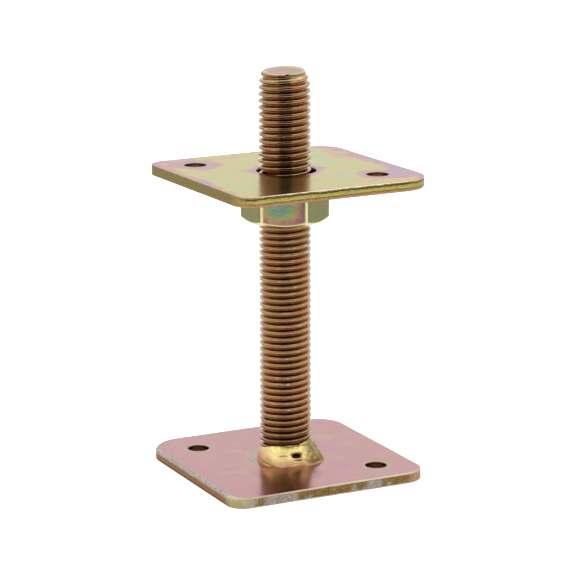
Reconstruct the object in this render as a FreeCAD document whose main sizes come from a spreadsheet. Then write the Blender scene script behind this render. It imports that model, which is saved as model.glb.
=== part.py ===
import FreeCAD, Part
import math
import os
import Sketcher

# Adjustable post base.
#
# A square steel ground plate carries an upright threaded rod, welded on all
# round its foot.  A hexagon nut runs on the rod and carries a second, loose
# square plate on which the timber post stands; the rod passes through a
# clearance hole in that plate.  Turning the nut raises and lowers the plate.
#
# Frame: millimetres, +Z up, origin on the rod's axis at the underside of the
# ground plate, X and Y along the sides of the ground plate.

doc = FreeCAD.newDocument("adjustable_post_base")

# ---------------------------------------------------------------- dimensions
sheet = doc.addObject("Spreadsheet::Sheet", "Sizes")
ROWS = [
    ("base_side_x", 81.4, "side of the ground plate along X"),
    ("base_side_y", 81.8, "side of the ground plate along Y"),
    ("base_off_x", -0.1, "middle of the ground plate from the rod's axis, along X"),
    ("base_off_y", 0.6, "middle of the ground plate from the rod's axis, along Y"),
    ("base_thick", 4.0, "thickness of the ground plate"),
    ("base_corner_front", 6.8, "corner radius of the ground plate at -X -Y"),
    ("base_corner_right", 9.4, "corner radius of the ground plate at +X -Y"),
    ("base_corner_back", 10.7, "corner radius of the ground plate at +X +Y"),
    ("base_corner_left", 13.2, "corner radius of the ground plate at -X +Y"),
    ("base_roll", 0.8, "rolled-over upper edge of the punched ground plate"),
    ("base_left_x", -25.25, "left fixing hole of the ground plate, along X"),
    ("base_left_y", 25.2, "left fixing hole of the ground plate, along Y"),
    ("base_right_x", 25.55, "right fixing hole of the ground plate, along X"),
    ("base_right_y", -25.4, "right fixing hole of the ground plate, along Y"),
    ("top_side_x", 80.8, "side of the post plate along X"),
    ("top_side_y", 81.2, "side of the post plate along Y"),
    ("top_off_x", 0.8, "middle of the post plate from its rod hole, along X"),
    ("top_off_y", -0.5, "middle of the post plate from its rod hole, along Y"),
    ("top_thick", 3.9, "thickness of the post plate"),
    ("top_corner_front", 6.6, "corner radius of the post plate at -X -Y"),
    ("top_corner_right", 13.3, "corner radius of the post plate at +X -Y"),
    ("top_corner_back", 9.2, "corner radius of the post plate at +X +Y"),
    ("top_corner_left", 7.8, "corner radius of the post plate at -X +Y"),
    ("top_roll", 0.4, "rolled-over upper edge of the punched post plate"),
    ("top_left_x", -25.25, "left fixing hole of the post plate, along X"),
    ("top_left_y", 25.7, "left fixing hole of the post plate, along Y"),
    ("top_right_x", 25.4, "right fixing hole of the post plate, along X"),
    ("top_right_y", -24.0, "right fixing hole of the post plate, along Y"),
    ("base_hole_dia", 8.05, "diameter of the two fixing holes in the ground plate"),
    ("top_hole_dia", 8.4, "diameter of the two fixing holes in the post plate"),
    ("hole_roll", 0.25, "rolled-over upper edge of the fixing holes"),
    ("centre_dia", 22.4, "clearance hole for the rod in the post plate"),
    ("centre_roll", 0.45, "rolled-over upper edge of the clearance hole"),
    ("rod_dia", 19.7, "outside diameter of the rod over its thread crests"),
    ("rod_length", 149.6, "length of the rod"),
    ("rod_tip_dia", 15.2, "flat end of the rod inside its chamfer"),
    ("rod_tip_long", 3.8, "height of the chamfer at the rod's end"),
    ("rod_foot", 0.6, "chamfer at the rod's welded foot"),
    ("thread_pitch", 2.5, "pitch of the rod's thread"),
    ("nut_flats", 29.7, "nut across flats"),
    ("nut_high", 15.2, "height of the nut"),
    ("nut_corner", 3.0, "rounding of the nut's six corners"),
    ("nut_face_dia", 28.2, "circle left by the nut's chamfers on each end"),
    ("nut_cham_deg", 30.0, "angle of the nut's chamfers"),
    ("nut_bore_dia", 19.8, "bore of the nut, a running fit on the rod"),
    ("nut_sink", 0.9, "countersink at each end of the nut's bore"),
    ("nut_turn_deg", 2.4, "turn of the nut as it stands"),
    ("plate_up", 115.7, "upper face of the post plate as it stands"),
    ("top_turn_deg", 1.7, "turn of the post plate as it stands"),
    ("top_play_x", 0.54, "side play of the loose post plate on the rod, along X"),
    ("top_play_y", -0.27, "side play of the loose post plate on the rod, along Y"),
    ("weld_high", 7.3, "height of the weld bead on its low side"),
    ("weld_foot_dia", 26.2, "diameter of the weld bead on the ground plate"),
    ("weld_waist_dia", 25.6, "diameter of the weld bead at a third of its height"),
    ("weld_crown_dia", 23.2, "diameter of the weld bead at two thirds"),
    ("weld_lip_dia", 20.6, "diameter of the weld bead where it ends on the rod"),
    ("weld_off_x", 1.05, "the bead's foot sits off the rod's axis, along X"),
    ("weld_off_y", -2.0, "the bead's foot sits off the rod's axis, along Y"),
    ("weld_tilt_deg", 6.0, "tilt of the bead's lip, which climbs to one side"),
]
for number, (alias, value, note) in enumerate(ROWS, start=1):
    sheet.set("A%d" % number, note)
    sheet.set("B%d" % number, repr(value))
    sheet.setAlias("B%d" % number, alias)
doc.recompute()


def size(alias):
    """A driving dimension, read from the sheet."""
    return float(sheet.get(alias))


# ------------------------------------------------------------------- helpers
def origin_plane(body, role):
    for feature in body.Origin.OriginFeatures:
        if feature.Role == role:
            return feature
    raise RuntimeError("no origin plane " + role)


def new_body(name, label):
    body = doc.addObject("PartDesign::Body", name)
    body.Label = label
    return body


def new_sketch(body, name, role="XY_Plane"):
    sketch = body.newObject("Sketcher::SketchObject", name)
    sketch.AttachmentSupport = [(origin_plane(body, role), "")]
    sketch.MapMode = "FlatFace"
    return sketch


def bind(sketch, index, name, expression):
    """Name a dimensional constraint and bind it to the sheet."""
    sketch.renameConstraint(index, name)
    sketch.setExpression("Constraints." + name, expression)


def rectangle(sketch, tag):
    """A plate's outline, its sides and its place bound to the sheet."""
    hx, hy = size(tag + "_side_x") / 2.0, size(tag + "_side_y") / 2.0
    cx, cy = size(tag + "_off_x"), size(tag + "_off_y")
    pts = [(cx - hx, cy - hy), (cx + hx, cy - hy), (cx + hx, cy + hy), (cx - hx, cy + hy)]
    for i in range(4):
        a, b = pts[i], pts[(i + 1) % 4]
        sketch.addGeometry(
            Part.LineSegment(FreeCAD.Vector(a[0], a[1], 0), FreeCAD.Vector(b[0], b[1], 0)),
            False,
        )
    for i in range(4):
        sketch.addConstraint(Sketcher.Constraint("Coincident", i, 2, (i + 1) % 4, 1))
    for i in (0, 2):
        sketch.addConstraint(Sketcher.Constraint("Horizontal", i))
    for i in (1, 3):
        sketch.addConstraint(Sketcher.Constraint("Vertical", i))
    k = sketch.addConstraint(Sketcher.Constraint("DistanceX", 0, 1, 0, 2, 2 * hx))
    bind(sketch, k, "side_x", "Sizes.%s_side_x" % tag)
    k = sketch.addConstraint(Sketcher.Constraint("DistanceY", 1, 1, 1, 2, 2 * hy))
    bind(sketch, k, "side_y", "Sizes.%s_side_y" % tag)
    k = sketch.addConstraint(Sketcher.Constraint("DistanceX", 0, 1, -1, 1, hx - cx))
    bind(sketch, k, "place_x", "Sizes.%s_side_x / 2 - Sizes.%s_off_x" % (tag, tag))
    k = sketch.addConstraint(Sketcher.Constraint("DistanceY", 0, 1, -1, 1, hy - cy))
    bind(sketch, k, "place_y", "Sizes.%s_side_y / 2 - Sizes.%s_off_y" % (tag, tag))
    return pts


def circle(sketch, x, y, dia, name, dia_expr, x_expr=None, y_expr=None):
    """A circle whose diameter and signed centre distances are bound."""
    g = sketch.addGeometry(
        Part.Circle(FreeCAD.Vector(x, y, 0), FreeCAD.Vector(0, 0, 1), dia / 2.0), False
    )
    k = sketch.addConstraint(Sketcher.Constraint("Diameter", g, dia))
    bind(sketch, k, name + "_dia", dia_expr)
    if x_expr is None and y_expr is None:
        sketch.addConstraint(Sketcher.Constraint("Coincident", g, 3, -1, 1))
        return
    for kind, value, expr, tail in (
        ("DistanceX", x, x_expr, "_x"),
        ("DistanceY", y, y_expr, "_y"),
    ):
        if value < 0:
            k = sketch.addConstraint(Sketcher.Constraint(kind, g, 3, -1, 1, -value))
        else:
            k = sketch.addConstraint(Sketcher.Constraint(kind, -1, 1, g, 3, value))
        bind(sketch, k, name + tail, expr)


def pad(body, sketch, name, length_expr):
    feature = body.newObject("PartDesign::Pad", name)
    feature.Profile = sketch
    feature.setExpression("Length", length_expr)
    sketch.Visibility = False
    body.Tip = feature
    doc.recompute()
    return feature


def cut_up(body, sketch, name, length_expr, least):
    """Cut upwards from the sketch plane, and make sure material went away."""
    before = body.Shape.Volume
    feature = body.newObject("PartDesign::Pocket", name)
    feature.Profile = sketch
    feature.Reversed = True
    feature.setExpression("Length", length_expr)
    sketch.Visibility = False
    body.Tip = feature
    doc.recompute()
    gone = before - feature.Shape.Volume
    if gone < least:
        raise RuntimeError("%s cut only %.3f mm3" % (name, gone))
    return feature


def edges_where(shape, test):
    return ["Edge%d" % (i + 1) for i, e in enumerate(shape.Edges) if test(e)]


def fillet(body, base, names, name, radius_expr):
    feature = body.newObject("PartDesign::Fillet", name)
    feature.Base = (base, names)
    feature.setExpression("Radius", radius_expr)
    body.Tip = feature
    doc.recompute()
    return feature


def upright(edge):
    a, b = edge.Vertexes[0].Point, edge.Vertexes[-1].Point
    return abs(a.x - b.x) < 1e-6 and abs(a.y - b.y) < 1e-6 and abs(a.z - b.z) > 1e-3


def closed_circle(edge, z, radius):
    return (
        len(edge.Vertexes) == 1
        and isinstance(edge.Curve, Part.Circle)
        and abs(edge.Curve.Radius - radius) < 1e-4
        and abs(edge.Curve.Center.z - z) < 1e-4
    )


# ------------------------------------------------------- the two flat plates
def plate(name, label, tag, centre=False):
    """A punched plate, square but for the hand-ground corners: two fixing holes
    on one diagonal, and the upper edges rolled over by the punch."""
    body = new_body(name, label)
    outline = new_sketch(body, name + "_outline")
    corners = rectangle(outline, tag)
    doc.recompute()
    thick = tag + "_thick"
    last = pad(body, outline, name + "_blank", "Sizes." + thick)
    full = size(tag + "_side_x") * size(tag + "_side_y") * size(thick)
    if abs(last.Shape.Volume - full) > 1.0:
        raise RuntimeError(name + " blank has the wrong volume")
    for (x, y), where in zip(corners, ("front", "right", "back", "left")):
        names = edges_where(
            last.Shape,
            lambda e: upright(e)
            and abs(e.Vertexes[0].Point.x - x) < 1e-4
            and abs(e.Vertexes[0].Point.y - y) < 1e-4,
        )
        if len(names) != 1:
            raise RuntimeError("%s: %s corner not found" % (name, where))
        last = fillet(
            body, last, names, "%s_%s_corner" % (name, where), "Sizes.%s_corner_%s" % (tag, where)
        )

    holes = new_sketch(body, name + "_holes")
    dia = size(tag + "_hole_dia")
    for side in ("left", "right"):
        x, y = size("%s_%s_x" % (tag, side)), size("%s_%s_y" % (tag, side))
        circle(
            holes,
            x,
            y,
            dia,
            side,
            "Sizes.%s_hole_dia" % tag,
            "abs(Sizes.%s_%s_x)" % (tag, side),
            "abs(Sizes.%s_%s_y)" % (tag, side),
        )
    if centre:
        circle(holes, 0, 0, size("centre_dia"), "centre", "Sizes.centre_dia")
    doc.recompute()
    punched = cut_up(body, holes, name + "_punched", "Sizes." + thick, 100.0)

    t = size(thick)
    (x0, y0), (x1, y1) = corners[0], corners[2]
    rim = []
    for i, e in enumerate(punched.Shape.Edges):
        box = e.BoundBox
        level = abs(box.ZMin - t) < 1e-6 and abs(box.ZMax - t) < 1e-6
        slack = min(box.XMin - x0, x1 - box.XMax, box.YMin - y0, y1 - box.YMax)
        if level and slack < 1e-3:
            rim.append("Edge%d" % (i + 1))
    if len(rim) != 8:
        raise RuntimeError("%s: %d edges round the upper face" % (name, len(rim)))
    rolled = fillet(body, punched, rim, name + "_rolled_edge", "Sizes.%s_roll" % tag)

    mouths = edges_where(rolled.Shape, lambda e: closed_circle(e, t, dia / 2.0))
    if len(mouths) != 2:
        raise RuntimeError(name + ": fixing hole mouths not found")
    last = fillet(body, rolled, mouths, name + "_hole_mouths", "Sizes.hole_roll")
    if centre:
        mouth = edges_where(
            last.Shape, lambda e: closed_circle(e, t, size("centre_dia") / 2.0)
        )
        last = fillet(body, last, mouth, name + "_centre_mouth", "Sizes.centre_roll")
    return body


base_plate = plate("BasePlate", "base_plate", "base")
base_plate.Placement = FreeCAD.Placement()

top_plate = plate("TopPlate", "top_plate", "top", centre=True)
top_plate.Placement = FreeCAD.Placement(
    FreeCAD.Vector(size("top_play_x"), size("top_play_y"), size("plate_up") - size("top_thick")),
    FreeCAD.Rotation(FreeCAD.Vector(0, 0, 1), size("top_turn_deg")),
)
top_plate.setExpression("Placement.Base.x", "Sizes.top_play_x")
top_plate.setExpression("Placement.Base.y", "Sizes.top_play_y")
top_plate.setExpression("Placement.Base.z", "Sizes.plate_up - Sizes.top_thick")


# ------------------------------------------------------------ profile sketch
def outline(sketch, points):
    """A closed outline of straight runs.  points holds (x, y, x_expr, y_expr);
    a coordinate with no expression lies on that sketch axis."""
    n = len(points)
    for i in range(n):
        a, b = points[i], points[(i + 1) % n]
        sketch.addGeometry(
            Part.LineSegment(FreeCAD.Vector(a[0], a[1], 0), FreeCAD.Vector(b[0], b[1], 0)),
            False,
        )
    first = sketch.GeometryCount - n
    for i in range(n):
        sketch.addConstraint(
            Sketcher.Constraint("Coincident", first + i, 2, first + (i + 1) % n, 1)
        )
    for i, (x, y, x_expr, y_expr) in enumerate(points):
        g = first + i
        tag = "p%d" % g
        if x_expr is None:
            sketch.addConstraint(Sketcher.Constraint("PointOnObject", g, 1, -2))
        else:
            k = sketch.addConstraint(Sketcher.Constraint("DistanceX", -1, 1, g, 1, x))
            bind(sketch, k, tag + "_x", x_expr)
        if y_expr is None:
            sketch.addConstraint(Sketcher.Constraint("PointOnObject", g, 1, -1))
        else:
            k = sketch.addConstraint(Sketcher.Constraint("DistanceY", -1, 1, g, 1, y))
            bind(sketch, k, tag + "_y", y_expr)


def turned(body, sketch, name, cut=False):
    before = body.Shape.Volume if cut else 0.0
    kind = "PartDesign::Groove" if cut else "PartDesign::Revolution"
    feature = body.newObject(kind, name)
    feature.Profile = sketch
    feature.ReferenceAxis = (sketch, ["V_Axis"])
    feature.Angle = 360.0
    sketch.Visibility = False
    body.Tip = feature
    doc.recompute()
    if cut and before - feature.Shape.Volume < 1.0:
        raise RuntimeError(name + " cut nothing")
    return feature


# -------------------------------------------------------------- threaded rod
# Turned blank at the size of the thread's crests, with the chamfered free end.
rod = new_body("ThreadedRod", "threaded_rod")
section = new_sketch(rod, "rod_section", "XZ_Plane")
rr, rl = size("rod_dia") / 2.0, size("rod_length")
outline(
    section,
    [
        (0, 0, None, None),
        (rr - size("rod_foot"), 0, "Sizes.rod_dia / 2 - Sizes.rod_foot", None),
        (rr, size("rod_foot"), "Sizes.rod_dia / 2", "Sizes.rod_foot"),
        (
            rr,
            rl - size("rod_tip_long"),
            "Sizes.rod_dia / 2",
            "Sizes.rod_length - Sizes.rod_tip_long",
        ),
        (size("rod_tip_dia") / 2.0, rl, "Sizes.rod_tip_dia / 2", "Sizes.rod_length"),
        (0, rl, None, "Sizes.rod_length"),
    ],
)
doc.recompute()
turned(rod, section, "rod_turned")
rod.Placement = FreeCAD.Placement(
    FreeCAD.Vector(0, 0, size("base_thick")), FreeCAD.Rotation()
)
rod.setExpression("Placement.Base.z", "Sizes.base_thick")

# ---------------------------------------------------------------- weld bead
# A lumpy fillet bead: round sections that shrink upwards while their centres
# move in to the rod, the upper ones tilted, with the rod's own bore cut out.
weld = new_body("BaseWeld", "base_weld")
LEVELS = [
    ("foot", "weld_foot_dia", 0.0, 1.0, 0.0),
    ("waist", "weld_waist_dia", 0.30, 0.95, 0.10),
    ("crown", "weld_crown_dia", 0.70, 0.55, 0.60),
    ("lip", "weld_lip_dia", 1.0, 0.0, 1.0),
]
rings = []
for tag, dia_name, up, share, lean in LEVELS:
    ring = new_sketch(weld, "weld_" + tag)
    dia = size(dia_name)
    x, y = size("weld_off_x") * share, size("weld_off_y") * share
    if share > 0:
        circle(
            ring,
            x,
            y,
            dia,
            tag,
            "Sizes." + dia_name,
            "Sizes.weld_off_x * %g" % share,
            "-Sizes.weld_off_y * %g" % share,
        )
    else:
        circle(ring, 0, 0, dia, tag, "Sizes." + dia_name)
    # the lip climbs towards +X +Y, the right-hand side seen from the front
    ring.AttachmentOffset = FreeCAD.Placement(
        FreeCAD.Vector(0, 0, size("weld_high") * up),
        FreeCAD.Rotation(FreeCAD.Vector(0.45, -0.89, 0), size("weld_tilt_deg") * lean),
    )
    ring.setExpression("AttachmentOffset.Base.z", "Sizes.weld_high * %g" % up)
    ring.Visibility = False
    rings.append(ring)
doc.recompute()
bead = weld.newObject("PartDesign::AdditiveLoft", "weld_bead")
bead.Profile = rings[0]
bead.Sections = rings[1:]
bead.Ruled = False
bead.Closed = False
weld.Tip = bead
doc.recompute()
bore = new_sketch(weld, "weld_bore")
circle(bore, 0, 0, size("rod_dia"), "rod", "Sizes.rod_dia")
doc.recompute()
cut_up(weld, bore, "weld_round_rod", "Sizes.weld_high * 3", 1500.0)
weld.Placement = FreeCAD.Placement(
    FreeCAD.Vector(0, 0, size("base_thick")), FreeCAD.Rotation()
)
weld.setExpression("Placement.Base.z", "Sizes.base_thick")

# -------------------------------------------------------------- hexagon nut
nut = new_body("HexNut", "hex_nut")
hexagon = new_sketch(nut, "nut_hexagon")
reach = size("nut_flats") / 2.0 / math.cos(math.pi / 6)
pts = [
    (reach * math.cos(math.radians(30 + 60 * i)), reach * math.sin(math.radians(30 + 60 * i)))
    for i in range(6)
]
for i in range(6):
    a, b = pts[i], pts[(i + 1) % 6]
    hexagon.addGeometry(
        Part.LineSegment(FreeCAD.Vector(a[0], a[1], 0), FreeCAD.Vector(b[0], b[1], 0)), False
    )
round_it = hexagon.addGeometry(
    Part.Circle(FreeCAD.Vector(0, 0, 0), FreeCAD.Vector(0, 0, 1), reach), True
)
hexagon.addConstraint(Sketcher.Constraint("Coincident", round_it, 3, -1, 1))
for i in range(6):
    hexagon.addConstraint(Sketcher.Constraint("Coincident", i, 2, (i + 1) % 6, 1))
    hexagon.addConstraint(Sketcher.Constraint("PointOnObject", i, 1, round_it))
for i in range(1, 6):
    hexagon.addConstraint(Sketcher.Constraint("Equal", 0, i))
hexagon.addConstraint(Sketcher.Constraint("Vertical", 5))
k = hexagon.addConstraint(Sketcher.Constraint("DistanceX", 2, 2, 5, 1, size("nut_flats")))
bind(hexagon, k, "flats", "Sizes.nut_flats")
doc.recompute()
blank = pad(nut, hexagon, "nut_blank", "Sizes.nut_high")
rounded = fillet(
    nut, blank, edges_where(blank.Shape, upright), "nut_corners", "Sizes.nut_corner"
)

# both ends are turned to a cone that leaves a round face inside the hexagon
cone = new_sketch(nut, "nut_cones", "XZ_Plane")
rf, rb, hh = size("nut_face_dia") / 2.0, reach + 1.0, size("nut_high")
drop = (rb - rf) * math.tan(math.radians(size("nut_cham_deg")))
far = "Sizes.nut_flats / 2 / cos(30 deg) + 1"
fall = "(%s - Sizes.nut_face_dia / 2) * tan(Sizes.nut_cham_deg * 1 deg)" % far
outline(
    cone,
    [
        (rf, hh, "Sizes.nut_face_dia / 2", "Sizes.nut_high"),
        (rb, hh, far, "Sizes.nut_high"),
        (rb, hh - drop, far, "Sizes.nut_high - " + fall),
    ],
)
outline(
    cone,
    [
        (rf, 0, "Sizes.nut_face_dia / 2", None),
        (rb, drop, far, fall),
        (rb, 0, far, None),
    ],
)
doc.recompute()
turned(nut, cone, "nut_ends", cut=True)

hole = new_sketch(nut, "nut_hole")
circle(hole, 0, 0, size("nut_bore_dia"), "bore", "Sizes.nut_bore_dia")
doc.recompute()
bored = cut_up(nut, hole, "nut_bored", "Sizes.nut_high", 1000.0)
mouths = edges_where(
    bored.Shape,
    lambda e: closed_circle(e, 0.0, size("nut_bore_dia") / 2.0)
    or closed_circle(e, size("nut_high"), size("nut_bore_dia") / 2.0),
)
if len(mouths) != 2:
    raise RuntimeError("nut bore mouths not found")
sunk = nut.newObject("PartDesign::Chamfer", "nut_countersinks")
sunk.Base = (bored, mouths)
sunk.setExpression("Size", "Sizes.nut_sink")
nut.Tip = sunk
doc.recompute()
nut.Placement = FreeCAD.Placement(
    FreeCAD.Vector(0, 0, size("plate_up") - size("top_thick") - size("nut_high")),
    FreeCAD.Rotation(FreeCAD.Vector(0, 0, 1), size("nut_turn_deg")),
)
nut.setExpression("Placement.Base.z", "Sizes.plate_up - Sizes.top_thick - Sizes.nut_high")

doc.recompute()

# ------------------------------------------------------------ check and save
for obj in doc.Objects:
    bad = [s for s in obj.State if s in ("Invalid", "Error")]
    if bad:
        raise RuntimeError("%s is in state %s" % (obj.Name, obj.State))

PIECES = [base_plate, rod, weld, top_plate, nut]
for piece in PIECES:
    shape = piece.Shape
    if shape.isNull() or not shape.isValid():
        raise RuntimeError(piece.Label + " has no valid shape")
    if len(shape.Solids) != 1:
        raise RuntimeError(piece.Label + " is not one solid")

os.makedirs("parts", exist_ok=True)
for piece in PIECES:
    shape = piece.Shape
    shape.exportStep(os.path.join("parts", piece.Label + ".step"))
    box = shape.optimalBoundingBox(False, False)
    print(
        "%-13s volume %9.1f mm3  x %7.2f..%6.2f  y %7.2f..%6.2f  z %7.2f..%6.2f"
        % (piece.Label, shape.Volume, box.XMin, box.XMax, box.YMin, box.YMax, box.ZMin, box.ZMax)
    )

turn = size("thread_pitch") / (2 * math.pi)
print("plate rise per radian of nut %.6f mm" % turn)
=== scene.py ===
import math

import bmesh
import bpy
import numpy as np
from mathutils import Matrix, Vector, noise
from mathutils.geometry import delaunay_2d_cdt


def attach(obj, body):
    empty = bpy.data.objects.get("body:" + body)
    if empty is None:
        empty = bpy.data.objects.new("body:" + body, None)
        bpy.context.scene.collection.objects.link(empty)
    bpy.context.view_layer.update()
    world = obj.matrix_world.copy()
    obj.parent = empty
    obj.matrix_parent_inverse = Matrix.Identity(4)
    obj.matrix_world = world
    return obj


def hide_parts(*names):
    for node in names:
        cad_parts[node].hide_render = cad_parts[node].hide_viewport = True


# Adjustable post base: two punched square plates, an M20 threaded rod welded to
# the lower one, and a hexagon nut that carries the upper one.  All five pieces
# are yellow-chromated zinc on steel.  Lengths below are in millimetres and are
# turned into metres when a mesh is made.

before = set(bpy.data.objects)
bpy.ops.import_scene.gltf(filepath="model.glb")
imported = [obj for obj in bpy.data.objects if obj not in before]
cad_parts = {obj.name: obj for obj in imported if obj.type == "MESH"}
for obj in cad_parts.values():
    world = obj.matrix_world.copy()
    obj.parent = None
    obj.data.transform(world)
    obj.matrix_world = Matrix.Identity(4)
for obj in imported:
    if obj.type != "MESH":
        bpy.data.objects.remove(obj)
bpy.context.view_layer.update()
MM = 0.001

# --------------------------------------------------------------- the main view
# F is the frame that faces the camera: x to the right, y away, z up.  The
# part's own frame is turned from it by VIEW about the rod's axis.
VIEW = 0.4635
PITCH_DOWN = 0.2327
ROLL = 0.0030
FOCAL_PX = 2484.62


def from_view(x, y, z=0.0):
    c, s = math.cos(VIEW), math.sin(VIEW)
    return (c * x + s * y, -s * x + c * y, z)


def make_camera():
    right = Vector(from_view(1, 0, 0))
    up = Vector(from_view(0, math.sin(PITCH_DOWN), math.cos(PITCH_DOWN)))
    ahead = Vector(from_view(0, math.cos(PITCH_DOWN), -math.sin(PITCH_DOWN)))
    place = right * 1.0886 + up * 68.4798 - ahead * 954.65
    cr, sr = math.cos(ROLL), math.sin(ROLL)
    ix = right * cr - up * sr
    iy = right * sr + up * cr
    cam = bpy.data.cameras.new("camera")
    cam.sensor_fit = "HORIZONTAL"
    cam.sensor_width = 36.0
    cam.lens = FOCAL_PX / 576.0 * 36.0
    cam.clip_start = 0.01
    cam.clip_end = 60.0
    obj = bpy.data.objects.new("camera", cam)
    bpy.context.scene.collection.objects.link(obj)
    m = Matrix.Identity(4)
    for r in range(3):
        m[r][0], m[r][1], m[r][2], m[r][3] = ix[r], iy[r], -ahead[r], place[r] * MM
    obj.matrix_world = m
    bpy.context.scene.camera = obj


make_camera()
view = bpy.context.scene.view_settings
view.view_transform = "Standard"
view.look = "None"
view.exposure = 0.0
view.gamma = 1.0


# ------------------------------------------------------------- node shorthands
class Graph:
    """Short calls for building a node tree."""

    def __init__(self, tree):
        self.tree = tree
        self.nodes = tree.nodes
        self.links = tree.links

    def put(self, kind, **props):
        node = self.nodes.new(kind)
        for k, v in props.items():
            setattr(node, k, v)
        return node

    def feed(self, socket, value):
        if isinstance(value, bpy.types.NodeSocket):
            self.links.new(value, socket)
        elif value is not None:
            socket.default_value = value

    def math(self, op, a, b=None, c=None, clamp=False):
        node = self.put("ShaderNodeMath", operation=op, use_clamp=clamp)
        for i, v in enumerate((a, b, c)):
            if v is not None:
                self.feed(node.inputs[i], v)
        return node.outputs[0]

    def vec(self, op, a, b=None, scale=None, out=0):
        node = self.put("ShaderNodeVectorMath", operation=op)
        self.feed(node.inputs[0], a)
        if b is not None:
            self.feed(node.inputs[1], b)
        if scale is not None:
            self.feed(node.inputs["Scale"], scale)
        return node.outputs[out]

    def span(self, value, a, b, lo=0.0, hi=1.0, smooth=True):
        node = self.put("ShaderNodeMapRange")
        node.interpolation_type = "SMOOTHSTEP" if smooth else "LINEAR"
        node.clamp = True
        self.feed(node.inputs["Value"], value)
        for name, v in (("From Min", a), ("From Max", b), ("To Min", lo), ("To Max", hi)):
            self.feed(node.inputs[name], v)
        return node.outputs[0]

    def mix(self, factor, a, b, kind="RGBA", blend="MIX"):
        node = self.put("ShaderNodeMix", data_type=kind)
        if kind == "RGBA":
            node.blend_type = blend
            ins, out = (6, 7), 2
        else:
            ins, out = (2, 3), 0
        self.feed(node.inputs[0], factor)
        for i, v in zip(ins, (a, b)):
            if isinstance(v, tuple) and len(v) == 3:
                v = v + (1.0,)
            self.feed(node.inputs[i], v)
        return node.outputs[out]

    def ramp(self, value, stops, mode="LINEAR"):
        node = self.put("ShaderNodeValToRGB")
        node.color_ramp.interpolation = mode
        items = node.color_ramp.elements
        while len(items) > 1:
            items.remove(items[-1])
        items[0].position, items[0].color = stops[0][0], lin(stops[0][1])
        for p, c in stops[1:]:
            e = items.new(p)
            e.color = lin(c)
        self.feed(node.inputs[0], value)
        return node.outputs[0]

    def noise(self, coord, scale, detail=3.0, rough=0.5, warp=0.0, seed=0.0, out="Fac"):
        node = self.put("ShaderNodeTexNoise", noise_dimensions="4D")
        self.feed(node.inputs["Vector"], coord)
        node.inputs["W"].default_value = seed
        node.inputs["Scale"].default_value = scale
        node.inputs["Detail"].default_value = detail
        node.inputs["Roughness"].default_value = rough
        node.inputs["Distortion"].default_value = warp
        return node.outputs[out]

    def bump(self, height, strength, distance, normal=None):
        node = self.put("ShaderNodeBump")
        node.inputs["Strength"].default_value = strength
        node.inputs["Distance"].default_value = distance
        self.feed(node.inputs["Height"], height)
        if normal is not None:
            self.feed(node.inputs["Normal"], normal)
        return node.outputs[0]


def lin(c):
    """sRGB 0..255 to a linear colour."""
    out = []
    for v in c[:3]:
        v = v / 255.0
        out.append(v / 12.92 if v <= 0.04045 else ((v + 0.055) / 1.055) ** 2.4)
    return (out[0], out[1], out[2], 1.0)


def metal(name, edge_tint=(1.0, 1.0, 1.0)):
    mat = bpy.data.materials.new(name)
    mat.use_nodes = True
    mat.node_tree.nodes.clear()
    g = Graph(mat.node_tree)
    out = g.put("ShaderNodeOutputMaterial")
    bsdf = g.put("ShaderNodeBsdfPrincipled")
    bsdf.inputs["Metallic"].default_value = 1.0
    bsdf.inputs["Specular Tint"].default_value = tuple(edge_tint) + (1.0,)
    g.links.new(bsdf.outputs[0], out.inputs[0])
    return mat, g, bsdf


def coords_mm(g, turn=0.0, shift=(0.0, 0.0, 0.0)):
    """Object coordinates in millimetres, brought into a piece's own frame."""
    tex = g.put("ShaderNodeTexCoord")
    p = g.vec("SCALE", tex.outputs["Object"], scale=1000.0)
    p = g.vec("SUBTRACT", p, tuple(shift))
    if turn:
        rot = g.put("ShaderNodeVectorRotate", rotation_type="Z_AXIS")
        g.feed(rot.inputs["Vector"], p)
        rot.inputs["Angle"].default_value = -turn
        p = rot.outputs[0]
    sep = g.put("ShaderNodeSeparateXYZ")
    g.feed(sep.inputs[0], p)
    return p, sep.outputs[0], sep.outputs[1], sep.outputs[2]


# ------------------------------------------------------------------ mesh tools
def piece_from(name, verts, faces, material, smooth=True):
    """One mesh object from points in millimetres."""
    mesh = bpy.data.meshes.new(name)
    v = np.asarray(verts, dtype=np.float64) * MM
    mesh.from_pydata(v.tolist(), [], faces if isinstance(faces, list) else faces.tolist())
    mesh.validate(verbose=False)
    if smooth:
        mesh.polygons.foreach_set("use_smooth", [True] * len(mesh.polygons))
    mesh.update()
    obj = bpy.data.objects.new(name, mesh)
    bpy.context.scene.collection.objects.link(obj)
    mesh.materials.append(material)
    return obj


def ring_faces(first_a, first_b, n):
    """Quads between two closed rings of n points, a outside and above b."""
    i = np.arange(n)
    j = (i + 1) % n
    return np.stack([first_a + i, first_b + i, first_b + j, first_a + j], 1)


def soft_noise(x, y, z, size):
    return noise.noise(Vector((x / size, y / size, z / size)))


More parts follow.
